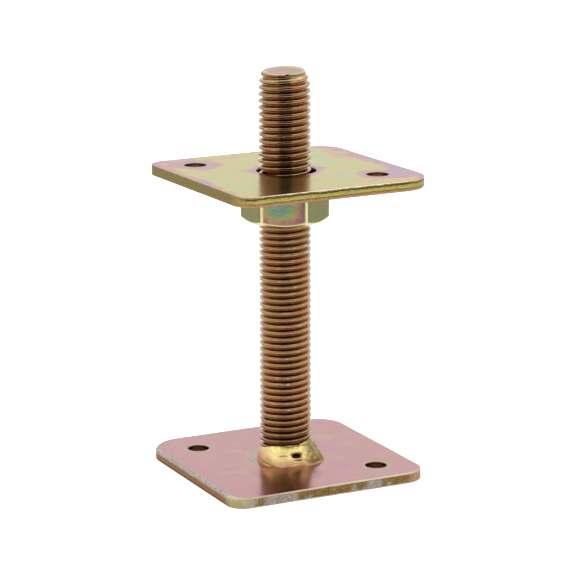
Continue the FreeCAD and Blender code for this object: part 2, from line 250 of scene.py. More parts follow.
# ------------------------------------------------------------------ the plates
def rounded_square(half, radii, step):
    """Points and outward normals round a rectangle, counterclockwise from the
    start of the -Y side.  half is (x, y); radii are for the corners in the order
    +X -Y, +X +Y, -X +Y, -X -Y."""
    hx, hy = half
    pts = []
    corners = [(hx, -hy, 1, -1), (hx, hy, 1, 1), (-hx, hy, -1, 1), (-hx, -hy, -1, -1)]
    for q in range(4):
        x0, y0, sx0, sy0 = corners[q - 1]
        x1, y1, sx1, sy1 = corners[q]
        r0, r1 = radii[q - 1], radii[q]
        a0 = -math.pi / 2 + q * math.pi / 2
        nx, ny = round(math.cos(a0)), round(math.sin(a0))
        tx, ty = -ny, nx
        start = (x0 + tx * r0, y0 + ty * r0)
        end = (x1 - tx * r1, y1 - ty * r1)
        n_side = max(8, int(round(math.hypot(end[0] - start[0], end[1] - start[1]) / step)))
        for i in range(n_side):
            t = i / n_side
            pts.append((start[0] + (end[0] - start[0]) * t, start[1] + (end[1] - start[1]) * t, nx, ny))
        cx, cy = x1 - sx1 * r1, y1 - sy1 * r1
        n_corner = max(12, int(round(math.pi / 2 * r1 / step)))
        for i in range(n_corner):
            a = a0 + math.pi / 2 * i / n_corner
            pts.append((cx + math.cos(a) * r1, cy + math.sin(a) * r1, math.cos(a), math.sin(a)))
    return np.array(pts)


def fill_between(outer, holes, spacing):
    """Triangles between an outer ring and hole rings, with a loose grid of
    inner points.  Returns (all points, triangles)."""
    pts = [tuple(p) for p in outer]
    edges = [(i, (i + 1) % len(outer)) for i in range(len(outer))]
    for ring in holes:
        f = len(pts)
        pts += [tuple(p) for p in ring]
        edges += [(f + i, f + (i + 1) % len(ring)) for i in range(len(ring))]
    n_ring = len(pts)
    out = np.asarray(outer)
    lo, hi = out.min(0), out.max(0)
    xs = np.arange(lo[0] + spacing, hi[0] - spacing * 0.5, spacing)
    ys = np.arange(lo[1] + spacing, hi[1] - spacing * 0.5, spacing)
    rings = [np.asarray(r) for r in holes]
    for i, x in enumerate(xs):
        for y in ys:
            yy = y + (spacing * 0.5 if i % 2 else 0.0)
            p = np.array([x, yy])
            if not inside(out, p) or near(out, p) < spacing * 0.45:
                continue
            if any(inside(r, p) or near(r, p) < spacing * 0.45 for r in rings):
                continue
            pts.append((x, yy))
    v, _, f, ov, _, _ = delaunay_2d_cdt([Vector(p) for p in pts], edges, [], 0, 1e-7, True)
    if len(v) != len(pts):
        raise RuntimeError("the plate's fill moved its rings")
    back = [o[0] for o in ov]
    keep = []
    P = np.array(pts)
    for tri in f:
        t = [back[k] for k in tri]
        c = P[t].mean(0)
        if all(k < n_ring for k in t):
            if not inside(out, c) or any(inside(r, c) for r in rings):
                continue
        keep.append(t)
    return pts, keep


def inside(ring, p):
    x, y = ring[:, 0], ring[:, 1]
    x2, y2 = np.roll(x, -1), np.roll(y, -1)
    cross = ((y > p[1]) != (y2 > p[1])) & (
        p[0] < (x2 - x) * (p[1] - y) / np.where(y2 == y, 1e-12, y2 - y) + x
    )
    return bool(cross.sum() % 2)


def near(ring, p):
    return float(np.hypot(ring[:, 0] - p[0], ring[:, 1] - p[1]).min())


def smooth01(t):
    t = min(1.0, max(0.0, t))
    return t * t * (3 - 2 * t)


def plate(name, half, corners, thick, holes, edge, place, material, outline=(0.0, 0.0)):
    """A punched plate.  edge(x, y, nx, ny, s) gives the section at one place of
    the rim, as (inset, height) from the upper face down to the lower one."""
    rim = rounded_square(half, corners, 0.26)
    rim[:, 0] += outline[0]
    rim[:, 1] += outline[1]
    n = len(rim)
    d = np.hypot(*(np.roll(rim[:, :2], -1, 0) - rim[:, :2]).T)
    s = np.concatenate([[0.0], np.cumsum(d)[:-1]])
    sections = [edge(rim[i, 0], rim[i, 1], rim[i, 2], rim[i, 3], s[i]) for i in range(n)]
    k = len(sections[0])
    verts, faces = [], []
    for j in range(k):
        for i in range(n):
            inset, z = sections[i][j]
            # past the corner's centre an inset ring would cross itself
            x = rim[i, 0] - rim[i, 2] * inset
            y = rim[i, 1] - rim[i, 3] * inset
            verts.append((x, y, z))
    for j in range(k - 1):
        faces += ring_faces(j * n, (j + 1) * n, n).tolist()
    # the holes: mouth rolled over on top, a fracture cone below, a burr at the exit
    tops, bottoms = [], []
    for cx, cy, radius, roll, count in holes:
        ring = []
        steps = 6
        section = [(radius + roll + 0.35, thick), (radius + roll, thick)]
        for q in range(1, steps + 1):
            a = math.pi / 2 * q / steps
            section.append((radius + roll * (1 - math.sin(a)), thick - roll * (1 - math.cos(a))))
        shear = thick * 0.52
        section += [
            (radius, thick - roll - 0.25),
            (radius, shear),
            (radius + 0.06, shear - 0.18),
            (radius + 0.11, shear - 0.7),
            (radius + 0.15, 0.35),
            (radius + 0.17, 0.12),
            (radius + 0.26, 0.0),
            (radius + 0.7, 0.0),
        ]
        base = len(verts)
        for j, (r, z) in enumerate(section):
            for i in range(count):
                a = 2 * math.pi * i / count
                wob = 0.0
                if 0.3 < z < shear - 0.1:
                    wob = 0.05 * soft_noise(math.cos(a) * radius * 3 + cx, math.sin(a) * radius * 3 + cy, z * 3, 1.1)
                verts.append((cx + (r + wob) * math.cos(a), cy + (r + wob) * math.sin(a), z))
        for j in range(len(section) - 1):
            # seen from the hole's axis: the outward side of the solid faces inwards
            a = ring_faces(base + j * count, base + (j + 1) * count, count)
            faces += a[:, ::-1].tolist()
        tops.append((base, count))
        bottoms.append((base + (len(section) - 1) * count, count))
    V = np.array(verts)
    for level, z, groups in ((0, thick, tops), (k - 1, 0.0, bottoms)):
        outer = V[level * n : (level + 1) * n, :2]
        rings = [V[b : b + c, :2] for b, c in groups]
        pts, tris = fill_between(outer, rings, 4.0)
        index = list(range(level * n, (level + 1) * n))
        for b, c in groups:
            index += list(range(b, b + c))
        for p in pts[len(index):]:
            index.append(len(verts))
            verts.append((p[0], p[1], z))
        for t in tris:
            a, b, c = (pts[q] for q in t)
            turn = (b[0] - a[0]) * (c[1] - a[1]) - (b[1] - a[1]) * (c[0] - a[0])
            t = [index[q] for q in t]
            if (turn > 0) != (level == 0):
                t.reverse()
            faces.append(t)
    turn, shift = place
    c, sn = math.cos(turn), math.sin(turn)
    V = np.array(verts)
    V = np.stack([V[:, 0] * c - V[:, 1] * sn + shift[0], V[:, 0] * sn + V[:, 1] * c + shift[1], V[:, 2] + shift[2]], 1)
    return piece_from(name, V, faces, material)


def base_edge(x, y, nx, ny, s):
    t = 4.0
    front = smooth01((-ny - 0.25) / 0.6)  # the side that faces right of the camera
    left = smooth01((-nx - 0.25) / 0.6)  # and the one that faces left
    wob = soft_noise(x, y, 0.0, 9.0)
    fine = soft_noise(x, y, 5.0, 1.7)
    roll = (0.70 + 0.85 * left) * (1 - front) + 0.50 * front
    roll *= 1.0 + 0.18 * wob + (0.10 + 0.12 * left) * fine
    drop = roll * (0.62 * (1 - front) + 0.75 * front)
    out = [(3.2, t), (roll + 0.55, t), (roll, t)]
    steps = 7
    for q in range(1, steps + 1):
        a = math.pi / 2 * q / steps
        out.append((roll * (1 - math.sin(a)), t - drop * (1 - math.cos(a))))
    low = 0.36 + 0.10 * soft_noise(x, y, 9.0, 6.0)
    top = t - drop
    bands = 9
    for q in range(1, bands + 1):
        f = q / bands
        z = top + (low - top) * f
        rough = 0.0
        if front > 0.05:
            rough = front * (0.12 + 0.13 * soft_noise(x, y, z, 0.55) + 0.07 * soft_noise(x, y, z, 1.9)) * smooth01(f * 5)
        else:
            rough = 0.02 * soft_noise(x, y, z, 2.5) + 0.012
        out.append((max(0.0, rough), z))
    out += [(0.04 + 0.03 * abs(fine), 0.12), (0.14 + 0.05 * abs(fine), 0.0), (1.6, 0.0), (3.2, 0.0)]
    return out


def top_edge(x, y, nx, ny, s):
    t = 3.9
    front = smooth01((-ny - 0.10) / 0.5)
    right = smooth01((nx - 0.1) / 0.6)
    torn = max(front, 0.6 * right)
    wob = soft_noise(x, y, 20.0, 8.0)
    fine = soft_noise(x, y, 25.0, 1.1)
    roll = 0.22 * (1 - torn) + 0.52 * torn * (1.0 + 0.12 * wob)
    drop = roll * 0.8
    out = [(2.4, t), (roll + 0.5, t), (roll, t)]
    steps = 6
    for q in range(1, steps + 1):
        a = math.pi / 2 * q / steps
        out.append((roll * (1 - math.sin(a)), t - drop * (1 - math.cos(a))))
    # burnished step, torn tongue that stands a little proud, and the break below
    line = t - drop - 0.55 * (1.0 + 0.25 * wob) - 0.22 * fine
    tongue = 1.75 + 0.16 * wob + 0.12 * fine
    heights = [t - drop - 0.18, line + 0.10, line - 0.06, line - 0.30, (line + tongue) / 2, tongue + 0.1, tongue - 0.12, 1.1, 0.62]
    insets = [0.045, 0.10, 0.035, 0.0, 0.0, 0.02, 0.09, 0.10, 0.10]
    for z, inset in zip(heights, insets):
        rough = 0.11 * soft_noise(x, y, z + 40.0, 0.7) + 0.04 * soft_noise(x, y, z + 40.0, 2.2)
        out.append((max(0.0, torn * (inset + rough) + (1 - torn) * 0.012 * (1 + soft_noise(x, y, z, 2.0))), z))
    out += [
        (torn * 0.12 + (1 - torn) * 0.01, 0.20),
        (torn * 0.20 + (1 - torn) * 0.06, 0.0),
        (1.4, 0.0),
        (2.4, 0.0),
    ]
    return out


# -------------------------------------------------------------- plate finishes
def plate_finish(name, thick, half, corners, holes, place, look, outline=(0.0, 0.0)):
    mat, g, bsdf = metal(name, look["edge_tint"])
    turn, shift = place
    p, x, y, z = coords_mm(g, turn, shift)
    flat = g.vec("MULTIPLY", p, (1.0, 1.0, 0.0))

    # distance in from the plate's rim
    ex = g.math("SUBTRACT", x, outline[0])
    ey = g.math("SUBTRACT", y, outline[1])
    on_x, on_y = g.math("GREATER_THAN", ex, 0.0), g.math("GREATER_THAN", ey, 0.0)
    near_y = g.mix(on_x, corners[3], corners[0], kind="FLOAT")
    far_y = g.mix(on_x, corners[2], corners[1], kind="FLOAT")
    corner = g.mix(on_y, near_y, far_y, kind="FLOAT")
    ax = g.math("SUBTRACT", g.math("ABSOLUTE", ex), g.math("SUBTRACT", half[0], corner))
    ay = g.math("SUBTRACT", g.math("ABSOLUTE", ey), g.math("SUBTRACT", half[1], corner))
    qx, qy = g.math("MAXIMUM", ax, 0.0), g.math("MAXIMUM", ay, 0.0)
    out = g.math("SQRT", g.math("ADD", g.math("MULTIPLY", qx, qx), g.math("MULTIPLY", qy, qy)))
    inner = g.math("MINIMUM", g.math("MAXIMUM", ax, ay), 0.0)
    rim = g.math("SUBTRACT", corner, g.math("ADD", out, inner))

    # nearness to each hole
    halo, wall = None, None
    ring_noise = g.noise(p, 0.35, 2.0, 0.5, seed=3.0)
    for cx, cy, radius, reach in holes:
        d = g.vec("DISTANCE", flat, (cx, cy, 0.0), out=1)
        d = g.math("SUBTRACT", d, radius)
        wob = g.math("MULTIPLY", g.math("SUBTRACT", ring_noise, 0.5), reach * 0.9)
        h = g.span(g.math("ADD", d, wob), 0.0, reach, 1.0, 0.0)
        w = g.span(d, 0.0, 0.45, 1.0, 0.0)
        halo = h if halo is None else g.math("MAXIMUM", halo, h)
        wall = w if wall is None else g.math("MAXIMUM", wall, w)

    big = g.noise(p, look["patch"], 2.0, 0.45, 0.6, seed=look["seed"])
    mid = g.noise(p, look["patch"] * 3.3, 3.0, 0.55, 0.3, seed=look["seed"] + 4)
    film = g.math("ADD", look["film"], g.math("MULTIPLY", g.math("SUBTRACT", big, 0.5), look["big"]))
    film = g.math("ADD", film, g.math("MULTIPLY", g.math("SUBTRACT", mid, 0.5), look["mid"]))
    reach = g.mix(g.span(x, 10.0, 34.0), look["rim_reach"][0], look["rim_reach"][1], kind="FLOAT")
    reach = g.mix(g.span(g.math("SUBTRACT", g.math("MULTIPLY", y, -1.0), g.math("MULTIPLY", g.math("ABSOLUTE", x), 0.8)), 0.0, 12.0), reach, look["rim_reach"][2], kind="FLOAT")
    rim_w = g.math("MULTIPLY", g.math("MULTIPLY", g.math("SUBTRACT", mid, 0.5), 0.9), reach)
    rim_halo = g.span(g.math("ADD", rim, rim_w), 0.0, reach, 1.0, 0.0)
    film = g.math("ADD", film, g.math("MULTIPLY", halo, look["halo"]))
    film = g.math("ADD", film, g.math("MULTIPLY", rim_halo, look["rim_halo"]))
    for bx, by, rx, ry, amount in look["spots"]:
        d = g.vec("SUBTRACT", flat, (bx, by, 0.0))
        d = g.vec("LENGTH", g.vec("MULTIPLY", d, (1.0 / rx, 1.0 / ry, 0.0)), out=1)
        d = g.math("ADD", d, g.math("MULTIPLY", g.math("SUBTRACT", mid, 0.5), 1.0))
        film = g.math("ADD", film, g.math("MULTIPLY", g.span(d, 0.0, 1.0, 1.0, 0.0), amount))
    for ring_r, wide, amount, towards in look["rings"]:
        d = g.math("ABSOLUTE", g.math("SUBTRACT", g.vec("LENGTH", flat, out=1), ring_r))
        d = g.math("ADD", d, g.math("MULTIPLY", g.math("SUBTRACT", mid, 0.45), wide * 1.5))
        arc = g.span(g.vec("DOT_PRODUCT", flat, towards, out=1), 0.0, ring_r * 0.8)
        film = g.math("ADD", film, g.math("MULTIPLY", g.math("MULTIPLY", g.span(d, 0.0, wide, 1.0, 0.0), arc), amount))
    face = g.ramp(film, look["colours"])

    # painted reflection of the weld and rod: copper-brown on the plate in front of the weld's foot, towards the camera
    middle, sx, sy, amount, tint = look["painted_weld_reflection"]
    if amount:
        rel = g.vec("SUBTRACT", flat, middle)
        u = g.math("DIVIDE", g.vec("DOT_PRODUCT", rel, from_view(1.0, 0.0, 0.0), out=1), sx)
        v = g.math("DIVIDE", g.vec("DOT_PRODUCT", rel, from_view(0.0, 1.0, 0.0), out=1), sy)
        d = g.math("SQRT", g.math("ADD", g.math("MULTIPLY", u, u), g.math("MULTIPLY", v, v)))
        d = g.math("ADD", d, g.math("MULTIPLY", g.math("SUBTRACT", mid, 0.5), 0.5))
        face = g.mix(g.span(d, 0.45, 1.05, amount, 0.0), face, lin(tint))

    # fine mottling and rolling lines of the sheet
    grain = g.noise(p, 2.2, 4.0, 0.62, seed=look["seed"] + 9)
    small = g.noise(p, 0.75, 3.0, 0.6, seed=look["seed"] + 11)
    face = g.mix(g.span(small, 0.38, 0.68, 0.0, look["stain"]), face, lin(look["stain_to"]))
    face = g.mix(g.span(grain, 0.25, 0.75, 0.0, look["mottle"]), face, look["mottle_to"], blend="MULTIPLY")
    stretched = g.vec("MULTIPLY", p, (0.06, 1.6, 1.0))
    lines = g.noise(stretched, 1.0, 4.0, 0.6, seed=look["seed"] + 13)
    face = g.mix(g.span(lines, 0.35, 0.75, 0.0, look["lines"]), face, lin(look["line_to"]))

    # the sheared rim, by height down the plate: the light first stops are a painted highlight on the rolled top edge,
    # and the dark band just under it on the post plate and the dark foot of the ground plate's -X side are painted
    # shade
    down = g.math("SUBTRACT", thick, z)
    jag = g.noise(p, 1.5, 3.0, 0.6, seed=look["seed"] + 21)
    jag2 = g.noise(p, 0.35, 2.0, 0.5, seed=look["seed"] + 23)
    wave = g.math("ADD", g.math("MULTIPLY", g.math("SUBTRACT", jag, 0.5), look["jag"]), g.math("MULTIPLY", g.math("SUBTRACT", jag2, 0.5), look["jag"]))
    level = g.math("DIVIDE", g.math("ADD", down, wave), thick)
    front = g.ramp(level, look["front_edge"])
    left = g.ramp(level, look["left_edge"])
    speck = g.noise(p, 3.4, 4.0, 0.65, seed=look["seed"] + 31)
    grit = g.noise(p, 2.4, 4.0, 0.72, seed=look["seed"] + 37)
    patch = g.noise(p, 0.22, 2.0, 0.5, seed=look["seed"] + 33)
    band = g.math("MULTIPLY", g.span(level, look["band"][0], look["band"][0] + 0.06), g.span(level, look["band"][1] - 0.05, look["band"][1], 1.0, 0.0))
    broken = g.ramp(grit, [(0.34, look["grain"][0]), (0.46, look["grain"][1]), (0.56, look["grain"][2]), (0.68, look["grain"][3])])
    front = g.mix(g.math("MULTIPLY", band, look["grain_by"]), front, broken)
    bare = g.span(patch, look["bare"][0], look["bare"][1])
    for at, reach in look["bare_at"]:
        d = g.math("ABSOLUTE", g.math("SUBTRACT", x, at))
        d = g.math("ADD", d, g.math("MULTIPLY", g.math("SUBTRACT", jag, 0.5), reach))
        bare = g.math("MAXIMUM", bare, g.span(d, reach * 0.6, reach, 1.0, 0.0))
    silver = g.ramp(grit, [(0.34, (108, 94, 78)), (0.46, (164, 150, 138)), (0.56, (192, 182, 174)), (0.70, (214, 208, 204))])
    front = g.mix(g.math("MULTIPLY", g.math("MULTIPLY", bare, band), look["bare_by"]), front, silver)
    side = g.span(g.math("SUBTRACT", x, y), -6.0, 6.0)  # 0 on the -X side, 1 on the -Y side
    glint = g.math("MULTIPLY", g.span(g.noise(p, 1.7, 4.0, 0.7, seed=look["seed"] + 35), 0.47, 0.60), g.span(level, look["glint"][0], look["glint"][1], 1.0, 0.0))
    left = g.mix(g.math("MULTIPLY", glint, look["glint"][2]), left, lin((214, 208, 206)))
    rim_colour = g.mix(side, left, front)
    corner_near = g.vec("DISTANCE", flat, (half[0] + outline[0], -half[1] + outline[1], 0.0), out=1)
    rim_colour = g.mix(g.span(corner_near, corners[0] * 1.1, corners[0] * 0.55, 0.0, look["corner_by"]), rim_colour, lin(look["corner_right"]))
    corner_near = g.vec("DISTANCE", flat, (-half[0] + outline[0], -half[1] + outline[1], 0.0), out=1)
    rim_colour = g.mix(g.span(corner_near, corners[3] * 1.5, corners[3] * 0.5, 0.0, look["corner_by"]), rim_colour, lin(look["corner_front"]))
    rim_s = g.mix(side, g.math("DIVIDE", rim, look["rim_left"]), rim, kind="FLOAT")
    on_rim = g.span(rim_s, look["rim_from"], look["rim_to"], 1.0, 0.0)
    colour = g.mix(on_rim, face, rim_colour)
    hole_colour = g.ramp(g.math("DIVIDE", down, thick), look["hole_wall"])
    colour = g.mix(wall, colour, hole_colour)
    g.feed(bsdf.inputs["Base Color"], colour)

    # roughness: bright sheet, dull shear
    spread = g.math("ADD", look["rough"], g.math("MULTIPLY", g.math("SUBTRACT", grain, 0.5), 0.10))
    spread = g.math("ADD", spread, g.math("MULTIPLY", g.math("SUBTRACT", big, 0.5), 0.05))
    spread = g.mix(on_rim, spread, look["rim_rough"], kind="FLOAT")
    g.feed(bsdf.inputs["Roughness"], spread)
    pits = g.noise(p, 5.0, 3.0, 0.6, seed=look["seed"] + 41)
    height = g.math("ADD", g.math("MULTIPLY", grain, 0.5), g.math("MULTIPLY", pits, 0.35))
    height = g.math("ADD", height, g.math("MULTIPLY", lines, 0.4))
    n1 = g.bump(height, look["bump"], 0.00004)
    n2 = g.bump(g.math("MULTIPLY", grit, on_rim), look["rim_bump"], 0.00016, n1)
    g.feed(bsdf.inputs["Normal"], n2)
    return mat


BASE_PLACE = (0.0, (0.0, 0.0, 0.0))
TOP_PLACE = (math.radians(1.7), (0.54, -0.27, 111.8))

BASE_LOOK = {
    "edge_tint": (0.95, 0.90, 0.90),
    "seed": 11.0,
    "patch": 0.055,
    "film": 0.66,
    "big": 0.75,
    "mid": 0.70,
    "halo": -0.50,
    "rim_halo": -0.16,
    "rim_reach": (2.2, 2.2, 2.0),
    "spots": [
        (-14.2, 15.9, 7.0, 6.0, -0.32), (-25.6, -9.7, 9.0, 5.0, -0.26), (22.7, 16.0, 7.0, 8.0, -0.30),
        (28.0, 4.0, 6.0, 6.0, -0.20), (-36.0, -2.0, 6.0, 12.0, 0.15), (13.0, -18.0, 7.0, 7.0, 0.16),
        (34.0, 33.0, 9.0, 9.0, 0.18), (-37.0, -27.0, 6.0, 8.0, 0.20), (-34.0, 33.0, 8.0, 8.0, 0.10),
    ],
    "rings": [(14.1, 2.3, -0.46, from_view(-0.95, -0.25, 0.0)), (12.0, 1.0, -0.45, from_view(-0.9, -0.4, 0.0))],
    # painted reflection of the weld and rod in the plate, in front of the weld
    "painted_weld_reflection": (from_view(1.0, -22.0, 0.0), 14.0, 11.0, 0.75, (132, 84, 62)),
    "colours": [
        (0.0, (150, 152, 130)),
        (0.18, (178, 168, 144)),
        (0.38, (196, 165, 146)),
        (0.62, (198, 150, 150)),
        (0.85, (199, 143, 158)),
        (1.0, (190, 132, 160)),
    ],
    "stain": 0.35,
    "stain_to": (192, 166, 156),
    "mottle": 0.55,
    "mottle_to": (0.80, 0.78, 0.77),
    "lines": 0.12,
    "line_to": (182, 150, 138),
    "jag": 0.45,
    # front_edge's light first stops are a painted highlight on the rolled top edge; left_edge's dark last stops are
    # painted shade along the foot
    "front_edge": [(0.0, (205, 195, 170)), (0.10, (200, 186, 158)), (0.16, (120, 96, 56)), (0.24, (140, 108, 60)), (0.78, (132, 100, 56)), (0.87, (158, 136, 100)), (0.92, (222, 214, 202)), (1.0, (200, 190, 175))],
    "left_edge": [(0.0, (152, 134, 120)), (0.22, (150, 138, 126)), (0.30, (130, 114, 98)), (0.36, (148, 100, 50)), (0.70, (158, 106, 50)), (0.88, (122, 82, 40)), (0.95, (76, 64, 50)), (1.0, (70, 62, 54))],
    "glint": (0.30, 0.38, 0.85),
    "band": (0.14, 0.92),
    "grain": ((62, 46, 24), (128, 98, 54), (160, 126, 72), (214, 186, 136)),
    "grain_by": 0.75,
    "bare": (0.50, 0.62),
    "bare_at": [(-22.0, 8.0), (17.0, 4.0)],
    "bare_by": 0.85,
    "corner_by": 0.6,
    "corner_right": (200, 156, 130),
    "corner_front": (206, 194, 146),
    "rim_from": 0.30,
    "rim_to": 0.9,
    "rim_left": 3.0,
    "hole_wall": [(0.0, (150, 118, 84)), (0.3, (110, 62, 34)), (0.55, (92, 48, 26)), (0.8, (150, 118, 70)), (1.0, (110, 80, 50))],
    "rough": 0.20,
    "rim_rough": 0.34,
    "rim_bump": 0.6,
    "bump": 0.3,
}

TOP_LOOK = dict(
    BASE_LOOK,
    edge_tint=(0.91, 0.88, 0.79),
    seed=57.0,
    patch=0.06,
    film=0.66,
    big=0.80,
    mid=0.75,
    halo=-0.60,
    rim_halo=-0.42,
    rim_reach=(5.0, 9.0, 1.8),
    spots=[
        (23.8, 18.2, 8.0, 6.0, 0.42), (12.8, -20.4, 11.0, 8.0, 0.26), (-28.5, -17.0, 7.0, 18.0, 0.30), (2.0, -33.5, 10.0, 4.0, 0.06),
        (32.0, -24.5, 3.4, 3.0, -0.30), (-18.0, 21.5, 4.0, 4.0, -0.20), (-6.5, 33.2, 18.0, 6.0, -0.28), (36.0, 31.0, 12.0, 12.0, -0.20),
        (-35.5, 37.0, 12.0, 9.0, -0.24), (36.0, -25.0, 15.0, 16.0, -0.52), (40.0, 2.0, 10.0, 26.0, -0.24), (21.0, 2.5, 8.0, 6.0, 0.14),
        (-31.0, 29.0, 14.0, 12.0, -0.26), (-18.0, -34.0, 10.0, 5.0, 0.12), (13.5, -1.5, 5.5, 5.5, -0.34), (-13.5, 5.0, 6.0, 6.0, -0.34),
        (23.0, -17.0, 5.0, 4.0, -0.14), (33.0, 18.0, 9.0, 9.0, -0.18), (-38.5, -8.0, 5.0, 14.0, -0.42), (-30.0, -9.0, 5.0, 6.0, 0.10), (-18.0, -18.0, 5.0, 3.5, -0.12),
    ],
    rings=[],
    painted_weld_reflection=((0.0, 0.0, 0.0), 1.0, 1.0, 0.0, (0, 0, 0)),
    colours=[
        (0.0, (178, 140, 196)),
        (0.10, (192, 130, 182)),
        (0.20, (202, 136, 170)),
        (0.32, (204, 150, 152)),
        (0.44, (206, 178, 136)),
        (0.60, (206, 198, 132)),
        (0.78, (198, 202, 140)),
        (0.90, (180, 205, 156)),
        (1.0, (166, 204, 180)),
    ],
    stain=0.20,
    stain_to=(200, 170, 132),
    mottle=0.22,
    lines=0.16,
    line_to=(188, 172, 108),
    jag=0.85,
    # front_edge's pinkish-white first stops are a painted highlight on the rolled top edge, the dark olive band under
    # them painted shade
    front_edge=[(0.0, (228, 204, 186)), (0.08, (222, 194, 180)), (0.125, (96, 84, 40)), (0.27, (108, 96, 42)), (0.34, (172, 168, 84)), (0.60, (182, 172, 90)), (0.68, (112, 84, 44)), (0.76, (168, 128, 92)), (0.92, (180, 138, 106)), (1.0, (160, 124, 94))],
    left_edge=[(0.0, (160, 136, 108)), (0.06, (124, 108, 60)), (0.5, (122, 106, 58)), (0.94, (126, 110, 60)), (1.0, (98, 82, 46))],
    glint=(0.02, 0.04, 0.3),
    band=(0.30, 0.66),
    grain=((112, 96, 44), (160, 150, 70), (188, 182, 92), (222, 216, 134)),
    grain_by=0.55,
    bare=(0.66, 0.75),
    bare_at=[(5.0, 1.2)],
    bare_by=0.5,
    corner_by=0.42,
    corner_right=(150, 134, 84),
    corner_front=(190, 164, 100),
    rim_from=0.10,
    rim_to=0.50,
    rim_left=1.0,
    hole_wall=[(0.0, (150, 130, 80)), (0.3, (112, 84, 40)), (0.55, (96, 70, 34)), (0.8, (150, 128, 70)), (1.0, (110, 90, 50))],
    rough=0.19,
    rim_rough=0.27,
    rim_bump=0.4,
    bump=0.3,
)

BASE_HOLES = [(-25.25, 25.2), (25.55, -25.4)]
BASE_HALF, BASE_CORNERS, BASE_OUTLINE = (40.7, 40.9), (9.4, 10.7, 13.2, 6.8), (-0.1, 0.6)
TOP_HOLES = [(-25.25, 25.7), (25.4, -24.0)]
TOP_HALF, TOP_CORNERS, TOP_OUTLINE = (40.4, 40.6), (13.3, 9.2, 7.8, 6.6), (0.8, -0.5)

base_mat = plate_finish(
    "ground_plate_plating", 4.0, BASE_HALF, BASE_CORNERS, [(x, y, 4.025, 2.6) for x, y in BASE_HOLES], BASE_PLACE, BASE_LOOK, BASE_OUTLINE
)
top_mat = plate_finish(
    "post_plate_plating", 3.9, TOP_HALF, TOP_CORNERS, [(x, y, 4.2, 8.5) for x, y in TOP_HOLES] + [(0, 0, 11.2, 5.0)], TOP_PLACE, TOP_LOOK,
    TOP_OUTLINE,
)

base = plate(
    "ground_plate", BASE_HALF, BASE_CORNERS, 4.0, [(x, y, 4.025, 0.28, 96) for x, y in BASE_HOLES],
    base_edge, BASE_PLACE, base_mat, BASE_OUTLINE,
)
top = plate(
    "post_plate", TOP_HALF, TOP_CORNERS, 3.9, [(x, y, 4.2, 0.14, 96) for x, y in TOP_HOLES] + [(0, 0, 11.2, 0.45, 180)],
    top_edge, TOP_PLACE, top_mat, TOP_OUTLINE,
)

# ---------------------------------------------------------------- threaded rod
PITCH = 2.5
CREST_R = 9.85
DEPTH = 1.52
SHOULDER, ROOT = 0.34, 0.92
ROD_LOW, ROD_HIGH = 4.0, 153.0
# the free end was sawn a little out of square, lowest on the camera's side
END_TILT = math.radians(4.0)
# height of the crest at angle 0 of the part's frame
CREST_AT_0 = 149.48 + PITCH * (VIEW - math.pi) / (2 * math.pi)

END_Z = np.array([100.0, 144.0, 146.5, 148.5, 149.8, 150.6, 151.4, 152.2, 152.9, 153.6, 154.2])
END_R = np.array([9.90, 9.87, 9.74, 9.58, 9.36, 9.12, 8.82, 8.45, 8.15, 7.85, 7.50])
RIM_Z = np.array([149.9, 150.6, 151.3, 152.4, 153.0, 154.2])
RIM_R = np.array([9.95, 9.45, 9.0, 8.10, 7.95, 7.60])


def crest_shape(x):
    """Depth below the crest, 0..1, for x = distance from the crest's middle in
    half pitches: a flat land, a rounded shoulder, a steep flank, a round root."""
    def bend(u, w):
        return np.where(u < -w, 0.0, np.where(u > w, u, (u + w) ** 2 / (4 * w)))

    return (bend(x - SHOULDER, 0.09) - bend(x - ROOT, 0.05)) / (ROOT - SHOULDER)


def thread_radius(phase, theta, z, depth=DEPTH, crest=CREST_R):
    """phase: -0.5..0.5 of a pitch from the crest's middle."""
    x = np.abs(phase) * 2
    r = crest - depth * crest_shape(x) - 0.05 * np.clip(x / 0.5, 0, 1) ** 2
    return r


# where the crests are nicked and rubbed flat: turn angle in the view's frame,
# height, half width along the turn, depth
NICKS = [
    (-76, 92.6, 7, 0.10), (-74, 90.1, 8, 0.13), (-80, 87.4, 6, 0.10), (-84, 85.2, 9, 0.12), (-72, 82.6, 7, 0.13),
    (-78, 77.5, 10, 0.14), (-70, 75.0, 8, 0.12), (-76, 69.9, 6, 0.10), (-88, 62.4, 12, 0.12), (-96, 57.4, 9, 0.10),
    (-70, 49.8, 8, 0.10), (-104, 36.0, 7, 0.10), (-66, 31.0, 9, 0.10), (-112, 122.0, 12, 0.12), (-116, 124.5, 10, 0.14),
    (-98, 129.6, 9, 0.12), (-120, 132.0, 6, 0.10), (40, 70.0, 14, 0.12), (60, 96.0, 10, 0.12), (150, 54.0, 12, 0.14),
    (170, 88.0, 10, 0.12), (110, 128.0, 12, 0.13), (200, 30.0, 10, 0.12), (20, 42.0, 9, 0.12), (-20, 60.0, 9, 0.11),
]


